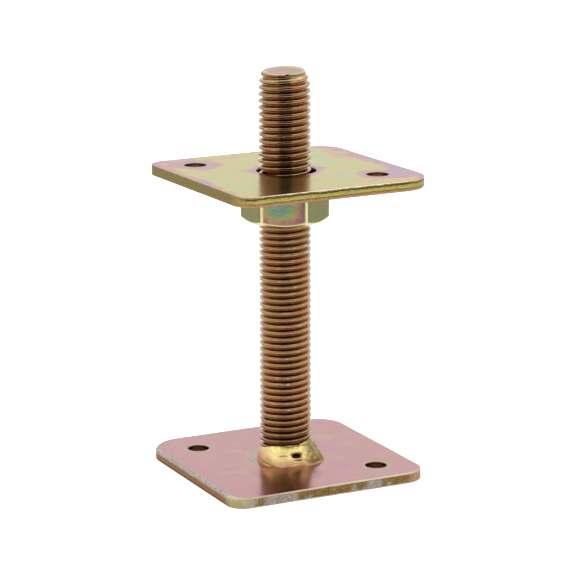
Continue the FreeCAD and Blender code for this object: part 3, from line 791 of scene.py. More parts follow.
def make_rod(material):
    n = 72
    fr = np.array([-0.5, -0.46, -0.43, -0.375, -0.30, -0.225, -0.19, -0.16, -0.13, -0.06, 0.0, 0.06, 0.13, 0.16, 0.19, 0.225, 0.30, 0.375, 0.43, 0.46])
    m = len(fr)
    first = int(math.floor((ROD_LOW - CREST_AT_0) / PITCH)) - 2
    last = int(math.ceil((ROD_HIGH - CREST_AT_0) / PITCH)) + 1
    turns = np.arange(first, last + 1)
    z_row = (CREST_AT_0 + PITCH * (turns[:, None] + fr[None, :])).ravel()
    ph_row = np.tile(fr, len(turns))
    K = len(z_row)
    i = np.arange(n)
    th = 2 * math.pi * i / n
    Z = z_row[:, None] + PITCH * i[None, :] / n
    PH = np.repeat(ph_row[:, None], n, 1)
    TH = np.repeat(th[None, :], K, 0)
    R = thread_radius(PH, TH, Z)
    # towards the free end the turns get lower, each one keeping its own form
    side = np.cos(TH + VIEW)
    floor_r = CREST_R - DEPTH - 0.05
    middle_z = Z - PH * PITCH
    tall = np.interp(middle_z + np.where(side < 0, 0.95, 0.15) * side, END_Z, END_R)
    R = floor_r + (R - floor_r) * np.clip((tall - floor_r) / (CREST_R - floor_r), 0, 1)
    # rolled crests close in a fine seam that comes and goes
    seam = np.zeros_like(R)
    dents = np.zeros_like(R)
    for k in range(K):
        if abs(ph_row[k]) > 0.3:
            continue
        for j in range(n):
            s = 0.55 + 0.9 * soft_noise(math.cos(th[j]) * 4, math.sin(th[j]) * 4, Z[k, j] * 0.55, 1.6)
            seam[k, j] = min(1.0, max(0.0, s))
            dents[k, j] = soft_noise(math.cos(th[j]) * 9.8, math.sin(th[j]) * 9.8, Z[k, j], 1.1)
    R = R - 0.022 * seam * np.exp(-((PH * PITCH) / 0.14) ** 2)
    R = R - 0.03 * np.clip(dents, 0, 1) * np.exp(-((PH * PITCH) / 0.5) ** 2)
    for deg, zc, wide, deep in NICKS:
        a = math.radians(deg) - VIEW
        da = np.degrees(np.abs((TH - a + math.pi) % (2 * math.pi) - math.pi))
        hit = np.clip(1.2 - da / wide, 0, 1) * (np.abs(Z - zc) < 1.2)
        flat = CREST_R - deep
        R = np.where(hit > 0, R - np.clip(R - flat, 0, None) * np.clip(hit * 2, 0, 1), R)
    # the groove runs out deeper under the last, unfinished turn
    R = R - 0.30 * np.clip((Z - 150.2) / 0.8, 0, 1) * crest_shape(np.abs(PH) * 2)
    # the chamfer was ground unevenly: it reaches lower on the view's right
    env = np.interp(Z + np.where(side < 0, 0.9, 0.6) * side, RIM_Z, RIM_R)
    lumps = np.array([[soft_noise(math.cos(th[j]) * 9, math.sin(th[j]) * 9, Z[k, j], 2.2) if Z[k, j] > 146 else 0.0 for j in range(n)] for k in range(K)])
    env = env + 0.16 * lumps
    # a rounded meeting of the thread with the chamfer
    h = 0.16
    t = np.clip(0.5 + 0.5 * (R - env) / h, 0, 1)
    R = R * (1 - t) + env * t - h * t * (1 - t)
    X, Y = R * np.cos(TH), R * np.sin(TH)
    verts = np.stack([X, Y, Z], 2).reshape(-1, 3)
    faces = []
    kk = np.arange(K - 1)
    for j in range(n - 1):
        a = kk * n + j
        faces.append(np.stack([a, a + 1, a + n + 1, a + n], 1))
    kk = np.arange(K - 1 - m)
    a = kk * n + (n - 1)
    b = (kk + m) * n
    faces.append(np.stack([a, b, b + n, a + n], 1))
    faces = np.concatenate(faces)
    # keep only what lies near the real length; the planes below trim it exactly
    zf = verts[:, 2][faces]
    faces = faces[(zf.max(1) > ROD_LOW - 0.3) & (zf.min(1) < ROD_HIGH + 1.3)]
    used = np.unique(faces)
    remap = -np.ones(len(verts), dtype=int)
    remap[used] = np.arange(len(used))
    obj = piece_from("threaded_rod_m20", verts[used], remap[faces], material)
    bm = bmesh.new()
    bm.from_mesh(obj.data)
    ends = []
    for z, way in ((ROD_LOW, (0.0, 0.0, -1.0)), (ROD_HIGH, from_view(0.0, -math.sin(END_TILT), math.cos(END_TILT)))):
        middle, way = Vector((0, 0, z * MM)), Vector(way)
        geom = bm.verts[:] + bm.edges[:] + bm.faces[:]
        bmesh.ops.bisect_plane(bm, geom=geom, dist=1e-8, plane_co=middle, plane_no=way, clear_outer=True)
        ends.append((middle, way))
    bmesh.ops.remove_doubles(bm, verts=bm.verts[:], dist=2e-6)
    loose = [v for v in bm.verts if not v.link_faces]
    bmesh.ops.delete(bm, geom=loose, context="VERTS")
    bm.normal_update()
    for middle, way in ends:
        rim = [e for e in bm.edges if e.is_boundary and all(abs((v.co - middle).dot(way)) < 3e-6 for v in e.verts)]
        loop = sorted({v for e in rim for v in e.verts}, key=lambda v: math.atan2(v.co.y, v.co.x))
        top_end = way.z > 0
        rings = [loop]
        if top_end:
            # a burred rim, then a sawn face with a shallow dish
            plan = [
                (0.985, 0.10, 1.0), (0.955, 0.12, 1.0), (0.925, 0.04, 0.92), (0.88, -0.06, 0.70), (0.80, -0.09, 0.26), (0.68, -0.08, 0.0),
                (0.45, -0.09, 0.0), (0.28, -0.11, 0.0), (0.12, -0.10, 0.0),
            ]
        else:
            plan = [(0.8, 0.0, 0.0), (0.4, 0.0, 0.0), (0.12, 0.0, 0.0)]
        for share, rise, raised in plan:
            ring = []
            for v in loop:
                at = middle + (v.co - middle) * share
                if top_end:
                    a = math.atan2(v.co.y, v.co.x)
                    burr = rise * (1.0 + 0.8 * soft_noise(math.cos(a) * 7, math.sin(a) * 7, 3.0, 2.4)) if rise > 0 else rise
                    # a raised lip on the far side, and a small tooth of metal on the near one
                    lip = math.cos(a + VIEW - math.radians(64.0))
                    burr += 0.22 * raised * smooth01((lip - 0.50) / 0.40)
                    tooth = math.cos(a + VIEW - math.radians(-80.0))
                    burr += 0.42 * raised * smooth01((tooth - 0.9925) / 0.006)
                    burr += 0.018 * soft_noise(math.cos(a) * share * 7, math.sin(a) * share * 7, 3.0, 1.6)
                    at = at + way * (burr * MM)
                ring.append(bm.verts.new(at))
            rings.append(ring)
        for a, b in zip(rings[:-1], rings[1:]):
            for i in range(len(loop)):
                j = (i + 1) % len(loop)
                quad = (a[i], a[j], b[j], b[i]) if top_end else (a[j], a[i], b[i], b[j])
                bm.faces.new(quad)
        centre = bm.verts.new(middle + way * ((-0.10 * MM) if top_end else 0.0))
        last_ring = rings[-1]
        for i in range(len(loop)):
            j = (i + 1) % len(loop)
            tri = (last_ring[i], last_ring[j], centre) if top_end else (last_ring[j], last_ring[i], centre)
            bm.faces.new(tri)
    for f in bm.faces:
        f.smooth = True
    bm.to_mesh(obj.data)
    bm.free()
    obj.data.update()
    return obj


def rod_finish():
    mat, g, bsdf = metal("rod_plating", (1.0, 0.99, 1.0))
    bsdf.inputs["Coat Weight"].default_value = 0.5
    bsdf.inputs["Coat IOR"].default_value = 1.5
    bsdf.inputs["Coat Roughness"].default_value = 0.12
    p, x, y, z = coords_mm(g)
    r = g.math("SQRT", g.math("ADD", g.math("MULTIPLY", x, x), g.math("MULTIPLY", y, y)))
    patch = g.noise(p, 0.16, 3.0, 0.5, 0.4, seed=2.0)
    fine = g.noise(p, 1.1, 4.0, 0.6, seed=6.0)
    # how far up from the crest's middle, in pitches
    turn = g.math("DIVIDE", g.math("ARCTAN2", y, x), 2 * math.pi)
    phase = g.math("SUBTRACT", g.math("DIVIDE", g.math("SUBTRACT", z, CREST_AT_0), PITCH), turn)
    phase = g.math("SUBTRACT", g.math("FRACT", g.math("ADD", phase, 0.5)), 0.5)
    up = g.math("DIVIDE", g.math("SUBTRACT", r, CREST_R - DEPTH), DEPTH)
    up = g.math("ADD", up, g.math("MULTIPLY", g.math("SUBTRACT", fine, 0.5), 0.22))
    up = g.math("ADD", up, g.math("MULTIPLY", g.math("SUBTRACT", patch, 0.5), 0.25))
    flank = g.ramp(up, [
        (0.0, (160, 112, 78)),
        (0.35, (166, 120, 82)),
        (0.75, (174, 130, 88)),
        (1.0, (178, 140, 96)),
    ])
    # the crest: a khaki upper lip and a tan lower lip, both painted highlights, with a darker seam between them where
    # the rolled lips met, partly painted shade
    tilt = g.math("ADD", phase, g.math("MULTIPLY", g.math("SUBTRACT", fine, 0.5), 0.07))
    crest = g.ramp(g.math("ADD", tilt, 0.5), [
        (0.28, (166, 124, 88)),
        (0.35, (180, 142, 104)),
        (0.42, (172, 136, 98)),
        (0.47, (128, 98, 66)),
        (0.54, (132, 104, 66)),
        (0.60, (180, 156, 106)),
        (0.68, (188, 168, 116)),
        (0.76, (170, 134, 88)),
    ])
    body = g.mix(g.span(up, 0.55, 0.85), flank, crest)
    tone = g.ramp(patch, [(0.25, (255, 226, 218)), (0.5, (252, 250, 246)), (0.75, (242, 248, 222))])
    body = g.mix(1.0, body, tone, blend="MULTIPLY")
    # crests rubbed back to bright zinc
    rub = g.math("MULTIPLY", g.span(up, 0.93, 1.08), g.span(g.noise(p, 0.5, 3.0, 0.6, seed=14.0), 0.54, 0.68))
    body = g.mix(g.math("MULTIPLY", rub, 0.8), body, lin((228, 220, 206)))
    # smoke from the weld darkens the first turns above it
    body = g.mix(g.span(z, 10.0, 26.0, 0.35, 0.0), body, lin((96, 60, 36)))
    # the sawn end: pinkish middle, golden rim
    face_r = g.math("ADD", r, g.math("MULTIPLY", g.math("SUBTRACT", fine, 0.5), 1.2))
    lip = math.radians(64.0)
    outward = g.vec("DOT_PRODUCT", p, from_view(math.cos(lip), math.sin(lip), 0.0), out=1)
    face_r = g.math("ADD", face_r, g.span(outward, 3.6, 6.2, 0.0, 0.9))
    end = g.ramp(g.math("DIVIDE", face_r, 8.2), [
        (0.0, (150, 84, 38)),
        (0.45, (145, 79, 36)),
        (0.74, (147, 92, 42)),
        (0.84, (168, 146, 88)),
        (0.93, (188, 174, 118)),
        (1.0, (132, 108, 56)),
    ])
    # height above the sawn plane decides where the end's own finish starts
    way = from_view(0.0, -math.sin(END_TILT), math.cos(END_TILT))
    over = g.vec("DOT_PRODUCT", g.vec("SUBTRACT", p, (0.0, 0.0, ROD_HIGH)), way, out=1)
    on_end = g.math("MULTIPLY", g.span(over, -0.30, -0.16), g.span(r, 8.3, 8.0))
    # the saw left a dark, torn strip just under the rim
    torn = g.math("MULTIPLY", g.span(g.math("ADD", over, g.math("MULTIPLY", g.math("SUBTRACT", fine, 0.5), 0.5)), -0.75, -0.45), g.span(over, -0.30, -0.18, 1.0, 0.0))
    # the last turn and the rim took a golden film
    gold = g.ramp(fine, [(0.36, (168, 140, 88)), (0.52, (194, 174, 120)), (0.66, (222, 210, 164))])
    body = g.mix(g.math("MULTIPLY", g.span(over, -3.4, -2.0), g.span(up, 0.2, 0.7, 0.35, 0.85)), body, gold)
    body = g.mix(g.math("MULTIPLY", torn, 0.6), body, lin((84, 56, 28)))
    colour = g.mix(on_end, body, end)
    g.feed(bsdf.inputs["Base Color"], colour)
    # the sawn face is dulled by a thick chalky film
    g.feed(bsdf.inputs["Metallic"], g.mix(g.math("MULTIPLY", on_end, g.span(r, 7.6, 7.0)), 1.0, 0.5, kind="FLOAT"))
    rough = g.math("ADD", 0.07, g.math("MULTIPLY", fine, 0.08))
    rough = g.mix(on_end, rough, 0.27, kind="FLOAT")
    g.feed(bsdf.inputs["Roughness"], rough)
    saw = g.noise(g.vec("MULTIPLY", p, (3.2, 0.25, 1.0)), 1.0, 3.0, 0.6, seed=8.0)
    height = g.mix(on_end, g.math("MULTIPLY", fine, 0.6), saw, kind="FLOAT")
    g.feed(bsdf.inputs["Normal"], g.bump(height, 0.25, 0.00007))
    return mat


rod_mat = rod_finish()
rod = make_rod(rod_mat)


# ------------------------------------------------------------------- weld bead
def periodic(a, keys):
    """Smooth closed curve through (degrees, value) keys."""
    ks = sorted(keys)
    n = len(ks)
    a = a % 360.0
    for i in range(n):
        a0, v0 = ks[i]
        a1, v1 = ks[(i + 1) % n]
        if a1 <= a0:
            a1 += 360.0
        t = a if a >= a0 else a + 360.0
        if a0 <= t < a1:
            vm = ks[i - 1][1]
            vp = ks[(i + 2) % n][1]
            u = (t - a0) / (a1 - a0)
            m0, m1 = (v1 - vm) / 2.0, (vp - v0) / 2.0
            return (2 * u**3 - 3 * u**2 + 1) * v0 + (u**3 - 2 * u**2 + u) * m0 + (-2 * u**3 + 3 * u**2) * v1 + (u**3 - u**2) * m1
    return ks[0][1]


# by angle in the view's frame: 0 right, -90 (270) towards the camera, 180 left
TOE = [(0, 14.4), (25, 13.9), (60, 13.0), (95, 12.4), (135, 11.6), (165, 10.9), (182, 10.9), (200, 11.6), (225, 13.2), (250, 14.3), (268, 14.6), (282, 14.1), (291, 13.9), (303, 14.7), (322, 15.2), (345, 15.4)]
RISE = [(0, 7.9), (30, 7.2), (60, 6.4), (95, 5.8), (135, 5.3), (165, 5.0), (185, 5.1), (210, 5.9), (235, 6.7), (255, 7.0), (270, 7.0), (290, 7.0), (310, 7.4), (330, 7.9), (345, 8.1)]
# where the bead leaves the rod: in the thread's root on the left, at its crest in front
START = [(0, 9.2), (60, 9.0), (120, 8.8), (165, 8.1), (185, 7.9), (212, 8.3), (238, 9.0), (270, 9.3), (300, 9.3), (340, 9.3)]
# how full the section is: 1 is a straight fillet, 2 an ellipse, more a swollen drop
FULL = [(0, 0.95), (30, 1.25), (60, 1.5), (95, 1.55), (135, 1.6), (165, 1.4), (188, 1.4), (212, 1.65), (232, 1.5), (248, 1.24), (262, 1.16), (280, 1.16), (292, 1.20), (305, 1.24), (322, 1.12), (340, 0.95)]


def weld_point(deg, t):
    """A point of the bead's skin in the view's frame: t = 0 on the rod, 1 at the toe."""
    toe, rise, full, start = (periodic(deg, k) for k in (TOE, RISE, FULL, START))
    a = t * math.pi / 2
    r = start + (toe - start) * math.sin(a) ** (2 / full)
    z = 4.0 + rise * math.cos(a) ** (2 / full)
    return r, z


def make_weld(material):
    n, m = 420, 84
    c, s = math.cos(-VIEW), math.sin(-VIEW)
    P = np.zeros((m + 1, n, 3))
    for i in range(n):
        deg = 360.0 * i / n
        rad = math.radians(deg)
        for k in range(m + 1):
            r, z = weld_point(deg, k / m)
            P[k, i] = (r * math.cos(rad), r * math.sin(rad), z)
    # outward directions from the grid
    du = np.roll(P, -1, 1) - np.roll(P, 1, 1)
    dv = np.zeros_like(P)
    dv[1:-1] = P[2:] - P[:-2]
    dv[0], dv[-1] = P[1] - P[0], P[-1] - P[-2]
    N = np.cross(dv, du)
    N /= np.maximum(np.linalg.norm(N, axis=2, keepdims=True), 1e-9)
    D = np.zeros((m + 1, n))
    for i in range(n):
        deg = 360.0 * i / n
        for k in range(m + 1):
            x, y, z = P[k, i]
            t = k / m
            hold = smooth01(t * 6) * smooth01((1 - t) * 4.5)
            v = 0.26 * soft_noise(x + 7, y, z, 4.6) + 0.06 * soft_noise(x, y + 30, z, 2.0) + 0.015 * soft_noise(x, y, z + 50, 0.9)
            # the last run on the right is rougher
            v += smooth01((x - 5.0) / 4.0) * (0.22 * soft_noise(x, y, z + 20, 1.5) + 0.07 * soft_noise(x, y, z + 70, 0.7))
            # faint solidification ripples, bowed along the bead
            ripple = math.sin(math.radians(deg) * 46 + 5.0 * (t - 0.5) ** 2 * 6 + 2.0 * soft_noise(x, y, z, 5.0))
            v += 0.014 * ripple * smooth01((t - 0.25) * 4) * smooth01((0.95 - t) * 6)
            D[k, i] = v * hold
    P = P + N * D[:, :, None]

    # view-frame features, pushed in along the skin's own direction
    def press(cx, cy, cz, along, across, long, wide, deep, sharp=2.0):
        """A dent at a point, longer in the direction `along`."""
        al = np.array(along, float)
        al /= np.linalg.norm(al)
        ac = np.array(across, float)
        ac -= al * ac.dot(al)
        ac /= np.linalg.norm(ac)
        rel = P - np.array([cx, cy, cz])
        u, w = rel @ al, rel @ ac
        far = np.linalg.norm(rel, axis=2)
        f = np.exp(-((np.abs(u) / long) ** sharp + (np.abs(w) / wide) ** sharp))
        f = np.where(far < max(long, wide) * 3.2, f, 0.0)
        return f[:, :, None] * deep * N

    moves = np.zeros_like(P)
    for item in WELD_MARKS:
        moves = moves - press(*item)
    P = P + moves
    P[-1, :, 2] = 4.0 - 0.05
    P[:, :, 2] = np.maximum(P[:, :, 2], 3.95)
    verts = P.reshape(-1, 3)
    verts = np.stack([verts[:, 0] * c - verts[:, 1] * s, verts[:, 0] * s + verts[:, 1] * c, verts[:, 2]], 1)
    faces = []
    for k in range(m):
        faces.append(ring_faces(k * n, (k + 1) * n, n))
    faces = np.concatenate(faces).tolist()
    # close the ring along the plate and up inside the rod
    inner = len(verts)
    a = np.radians(360.0 * np.arange(n) / n) - VIEW
    low = np.stack([8.0 * np.cos(a), 8.0 * np.sin(a), np.full(n, 3.95)], 1)
    high = np.stack([8.0 * np.cos(a), 8.0 * np.sin(a), verts[:n, 2] - 0.4], 1)
    verts = np.concatenate([verts, low, high])
    faces += ring_faces(m * n, inner, n).tolist()
    faces += ring_faces(inner, inner + n, n).tolist()
    faces += ring_faces(inner + n, 0, n).tolist()
    return piece_from("weld_bead", verts, faces, material)


def on_weld(deg, t):
    r, z = weld_point(deg, t)
    a = math.radians(deg)
    return (r * math.cos(a), r * math.sin(a), z)


def weld_mark(deg, t, swing, long, wide, deep, sharp=2.0):
    """A mark at (deg, t); swing turns its length from level towards downhill."""
    x, y, z = on_weld(deg, t)
    x1, y1, z1 = on_weld(deg + 1.0, t)
    x2, y2, z2 = on_weld(deg, min(1.0, t + 0.02))
    level = np.array([x1 - x, y1 - y, z1 - z])
    down = np.array([x2 - x, y2 - y, z2 - z])
    level /= np.linalg.norm(level)
    down /= np.linalg.norm(down)
    q = math.radians(swing)
    along = level * math.cos(q) + down * math.sin(q)
    across = -level * math.sin(q) + down * math.cos(q)
    return (x, y, z, along, across, long, wide, deep, sharp)


WELD_MARKS = [
    weld_mark(290.2, 0.52, 3, 1.85, 0.80, 1.3, 2.2),   # blow hole
    weld_mark(283.2, 0.46, 0, 0.5, 0.25, 0.12, 2.0),
    weld_mark(292, 0.685, 2, 1.6, 0.36, 0.32, 2.0),   # lap below it
    weld_mark(265, 0.50, -4, 2.1, 0.13, 0.18, 2.0),  # scratch
    weld_mark(262, 0.55, 4, 1.3, 0.10, 0.09, 2.0),
    weld_mark(276, 0.72, 0, 2.2, 0.20, 0.08, 2.0),   # faint laps towards the toe
    weld_mark(283, 0.80, 2, 1.6, 0.20, 0.10, 2.0),
    weld_mark(232, 0.86, 6, 4.2, 0.24, 0.26, 2.0),   # fold along the left toe
    weld_mark(216, 0.84, 0, 3.0, 0.22, 0.24, 2.0),
    weld_mark(318, 0.22, 20, 2.6, 0.45, 0.40, 2.0),  # start of the last run, right
    weld_mark(332, 0.50, 60, 2.8, 0.9, 0.50, 2.0),
    weld_mark(316, 0.50, 30, 1.6, 0.7, 0.35, 2.0),
    weld_mark(326, 0.80, 10, 2.2, 0.6, 0.30, 2.0),
    weld_mark(10, 0.5, 70, 3.0, 1.0, 0.40, 2.0),
    weld_mark(120, 0.6, 30, 2.4, 0.6, 0.35, 2.0),
]


def weld_finish():
    mat, g, bsdf = metal("weld_plating", (1.0, 1.0, 0.98))
    p, x, y, z = coords_mm(g)
    flat = g.vec("MULTIPLY", p, (1.0, 1.0, 0.0))
    big = g.noise(p, 0.16, 2.0, 0.5, 0.5, seed=4.0)
    mid = g.noise(p, 0.6, 3.0, 0.55, 0.3, seed=9.0)
    fine = g.noise(p, 2.6, 4.0, 0.6, seed=13.0)
    lift = g.math("DIVIDE", g.math("SUBTRACT", z, 4.0), 7.5)
    film = g.math("ADD", g.math("MULTIPLY", lift, 0.75), g.math("MULTIPLY", g.math("SUBTRACT", big, 0.5), 0.75))
    film = g.math("ADD", film, g.math("MULTIPLY", g.math("SUBTRACT", mid, 0.5), 0.35))
    film = g.math("ADD", film, 0.10)
    film = g.math("ADD", film, g.span(g.vec("DOT_PRODUCT", p, from_view(1.0, 0.0, 0.0), out=1), -10.5, -5.5, -0.34, 0.0))
    colour = g.ramp(film, [
        (0.0, (200, 156, 118)),
        (0.16, (210, 169, 124)),
        (0.36, (218, 188, 134)),
        (0.58, (220, 200, 134)),
        (0.80, (222, 206, 136)),
        (1.0, (200, 178, 108)),
    ])
    # the side that was welded last is duller, olive and brown with soot spots
    across = g.vec("DOT_PRODUCT", p, from_view(1.0, 0.0, 0.0), out=1)
    nearer = g.vec("DOT_PRODUCT", p, from_view(0.0, -1.0, 0.0), out=1)
    last_run = g.math("ADD", g.math("MULTIPLY", across, 0.9), g.math("MULTIPLY", nearer, -0.25))
    last_run = g.math("ADD", last_run, g.math("MULTIPLY", g.math("SUBTRACT", mid, 0.5), 5.0))
    dull = g.ramp(g.math("ADD", g.math("MULTIPLY", mid, 0.6), g.math("MULTIPLY", fine, 0.4)), [
        (0.34, (74, 56, 26)),
        (0.43, (102, 83, 32)),
        (0.50, (130, 112, 48)),
        (0.58, (164, 137, 90)),
        (0.68, (204, 186, 144)),
    ])
    colour = g.mix(g.span(last_run, 3.0, 7.0, 0.0, 0.85), colour, dull)
    # copper along the toe, where the bead meets the plate, lightened towards cream as a painted highlight on the bead's
    # lower edge
    toe = g.span(g.math("ADD", z, g.math("MULTIPLY", g.math("SUBTRACT", mid, 0.5), 1.0)), 4.0, 4.7, 1.0, 0.0)
    colour = g.mix(g.math("MULTIPLY", toe, 0.7), colour, g.ramp(fine, [(0.35, (186, 140, 106)), (0.55, (232, 190, 142)), (0.7, (238, 216, 182))]))
    speck = g.span(g.noise(p, 1.9, 3.0, 0.7, seed=31.0), 0.62, 0.72)
    colour = g.mix(g.math("MULTIPLY", speck, 0.35), colour, lin((150, 112, 66)))
    # painted shade: near-black down in the blow hole and along the scratch, laps, fold and dents, and in the undercut
    # where the bead leaves the rod
    for deg, t, swing, long, wide, soft, shade in (
        (290.2, 0.52, 3, 2.0, 0.98, 0.30, 0.96), (265, 0.50, -4, 2.0, 0.14, 0.9, 0.55), (283.2, 0.46, 0, 0.6, 0.32, 0.8, 0.6),
        (292, 0.69, 2, 1.5, 0.24, 0.9, 0.55), (232, 0.87, 6, 4.0, 0.16, 0.9, 0.4), (318, 0.24, 20, 2.4, 0.34, 0.9, 0.6),
        (270, 0.62, -2, 1.0, 0.10, 0.9, 0.35), (268, 0.06, 0, 1.6, 0.35, 0.9, 0.7),
    ):
        x0, y0, z0, along, off = weld_mark(deg, t, swing, long, wide, 1.0)[:5]
        rel = g.vec("SUBTRACT", p, from_view(x0, y0, z0))
        u = g.math("DIVIDE", g.math("ABSOLUTE", g.vec("DOT_PRODUCT", rel, from_view(*along), out=1)), long)
        w = g.math("DIVIDE", g.math("ABSOLUTE", g.vec("DOT_PRODUCT", rel, from_view(*off), out=1)), wide)
        far = g.math("ADD", g.math("POWER", u, 1.5), g.math("POWER", w, 1.5))
        far = g.math("ADD", far, g.math("MULTIPLY", g.math("SUBTRACT", fine, 0.5), 0.35))
        hit = g.math("MULTIPLY", g.span(far, 1.0 - soft * 0.5, 1.0 + soft * 0.5, 1.0, 0.0), g.span(g.vec("LENGTH", rel, out=1), long * 1.6, long * 1.3))
        colour = g.mix(g.math("MULTIPLY", hit, shade), colour, lin((18, 11, 5)))
    g.feed(bsdf.inputs["Base Color"], colour)
    rough = g.math("ADD", 0.22, g.math("MULTIPLY", fine, 0.12))
    rough = g.math("ADD", rough, g.span(last_run, 3.0, 7.0, 0.0, 0.08))
    rough = g.math("ADD", rough, g.span(lift, 0.12, 0.50, 0.20, 0.0))
    g.feed(bsdf.inputs["Roughness"], rough)
    g.feed(bsdf.inputs["Normal"], g.bump(g.math("ADD", g.math("MULTIPLY", mid, 0.6), g.math("MULTIPLY", fine, 0.4)), 0.5, 0.00014))
    return mat


weld_mat = weld_finish()
weld = make_weld(weld_mat)


# --------------------------------------------------------------------- the nut
NUT_LOW, NUT_HIGH = 96.6, 111.8
NUT_TURN = math.radians(2.4)
NUT_FLATS, NUT_CORNER, NUT_FACE = 29.7, 3.0, 14.1


def hexagon_radius(a, flats, corner):
    """Radius of a hexagon with rounded corners at angle a; flats face 0, 60, ..."""
    h = flats / 2.0
    a = (a + math.pi / 6) % (math.pi / 3) - math.pi / 6
    # the corner's circle sits where both its flats are tangent
    cr = (h - corner) / math.cos(math.pi / 6)
    tangent = math.atan2((h - corner) * math.tan(math.pi / 6), h)
    if abs(a) <= tangent:
        return h / math.cos(a)
    b = math.pi / 6 - abs(a)
    return cr * math.cos(b) + math.sqrt(max(0.0, corner**2 - (cr * math.sin(b)) ** 2))


def make_nut(material):
    n = 360
    hh = NUT_HIGH - NUT_LOW
    tan_c = math.tan(math.radians(30.0))
    rows = []
    for i in range(n):
        a = 2 * math.pi * i / n
        R = hexagon_radius(a, NUT_FLATS, NUT_CORNER)
        fall = (R - NUT_FACE) * tan_c
        line = []
        # lower side, from the thread outwards
        line.append((10.55, 0.05))
        line.append((10.85, 0.0))
        line.append((12.5, 0.0))
        line.append((NUT_FACE - 0.45, 0.0))
        line.append((NUT_FACE - 0.15, 0.02))
        line.append((NUT_FACE + 0.10, 0.12))
        for q in range(1, 5):
            f = q / 5.0
            line.append((NUT_FACE + 0.1 + (R - 0.25 - NUT_FACE - 0.1) * f, 0.12 + (fall - 0.05 - 0.12) * f))
        # the chamfer rolls into the flat
        line.append((R - 0.25, fall - 0.05))
        line.append((R - 0.12, fall + 0.05))
        line.append((R - 0.04, fall + 0.20))
        line.append((R, fall + 0.42))
        for q in range(1, 12):
            f = q / 12.0
            line.append((R, fall + 0.42 + (hh - 2 * fall - 0.84) * f))
        line.append((R, hh - fall - 0.42))
        line.append((R - 0.04, hh - fall - 0.20))
        line.append((R - 0.12, hh - fall - 0.05))
        line.append((R - 0.25, hh - fall + 0.05))
        for q in range(1, 5):
            f = 1 - q / 5.0
            line.append((NUT_FACE + 0.1 + (R - 0.25 - NUT_FACE - 0.1) * f, hh - 0.12 - (fall - 0.05 - 0.12) * f))
        line.append((NUT_FACE + 0.10, hh - 0.12))
        line.append((NUT_FACE - 0.15, hh - 0.02))
        line.append((NUT_FACE - 0.45, hh))
        line.append((12.5, hh))
        line.append((10.85, hh))
        line.append((10.55, hh - 0.05))
        rows.append(line)
    k = len(rows[0])
    verts = []
    for j in range(k):
        for i in range(n):
            r, z = rows[i][j]
            a = 2 * math.pi * i / n + NUT_TURN
            # a forging is never quite flat: each face is faintly hollow and uneven
            x, y = r * math.cos(a), r * math.sin(a)
            d = 0.0
            if 12 <= j <= k - 12:
                side = math.cos(3 * (a - NUT_TURN)) ** 2
                d = 0.05 * side * math.sin(math.pi * min(1, max(0, z / hh))) + 0.035 * soft_noise(x, y, z + 60, 3.2)
                d = max(0.0, d + 0.02)
            verts.append(((r - d) * math.cos(a), (r - d) * math.sin(a), NUT_LOW + z))
    faces = []
    for j in range(k - 1):
        faces += ring_faces(j * n, (j + 1) * n, n)[:, ::-1].tolist()
    # the bore's own thread, one with the rod's turns, inside a countersink
    zs = np.linspace(hh - 0.05, 0.05, 92)
    base = len(verts)
    for z in zs:
        for i in range(n):
            a = 2 * math.pi * i / n + NUT_TURN
            zz = NUT_LOW + z
            ph = ((zz - (CREST_AT_0 + PITCH * a / (2 * math.pi))) / PITCH + 0.5) % 1.0 - 0.5
            r = float(thread_radius(np.array(ph), a, zz)) + 0.14
            sink = 10.55 - min(z, hh - z)
            r = max(r, sink)
            verts.append((r * math.cos(a), r * math.sin(a), zz))
    rows_in = len(zs)
    faces += ring_faces((k - 1) * n, base, n)[:, ::-1].tolist()
    for j in range(rows_in - 1):
        faces += ring_faces(base + j * n, base + (j + 1) * n, n)[:, ::-1].tolist()
    faces += ring_faces(base + (rows_in - 1) * n, 0, n)[:, ::-1].tolist()
    return piece_from("hex_nut_m20", np.array(verts), faces, material)


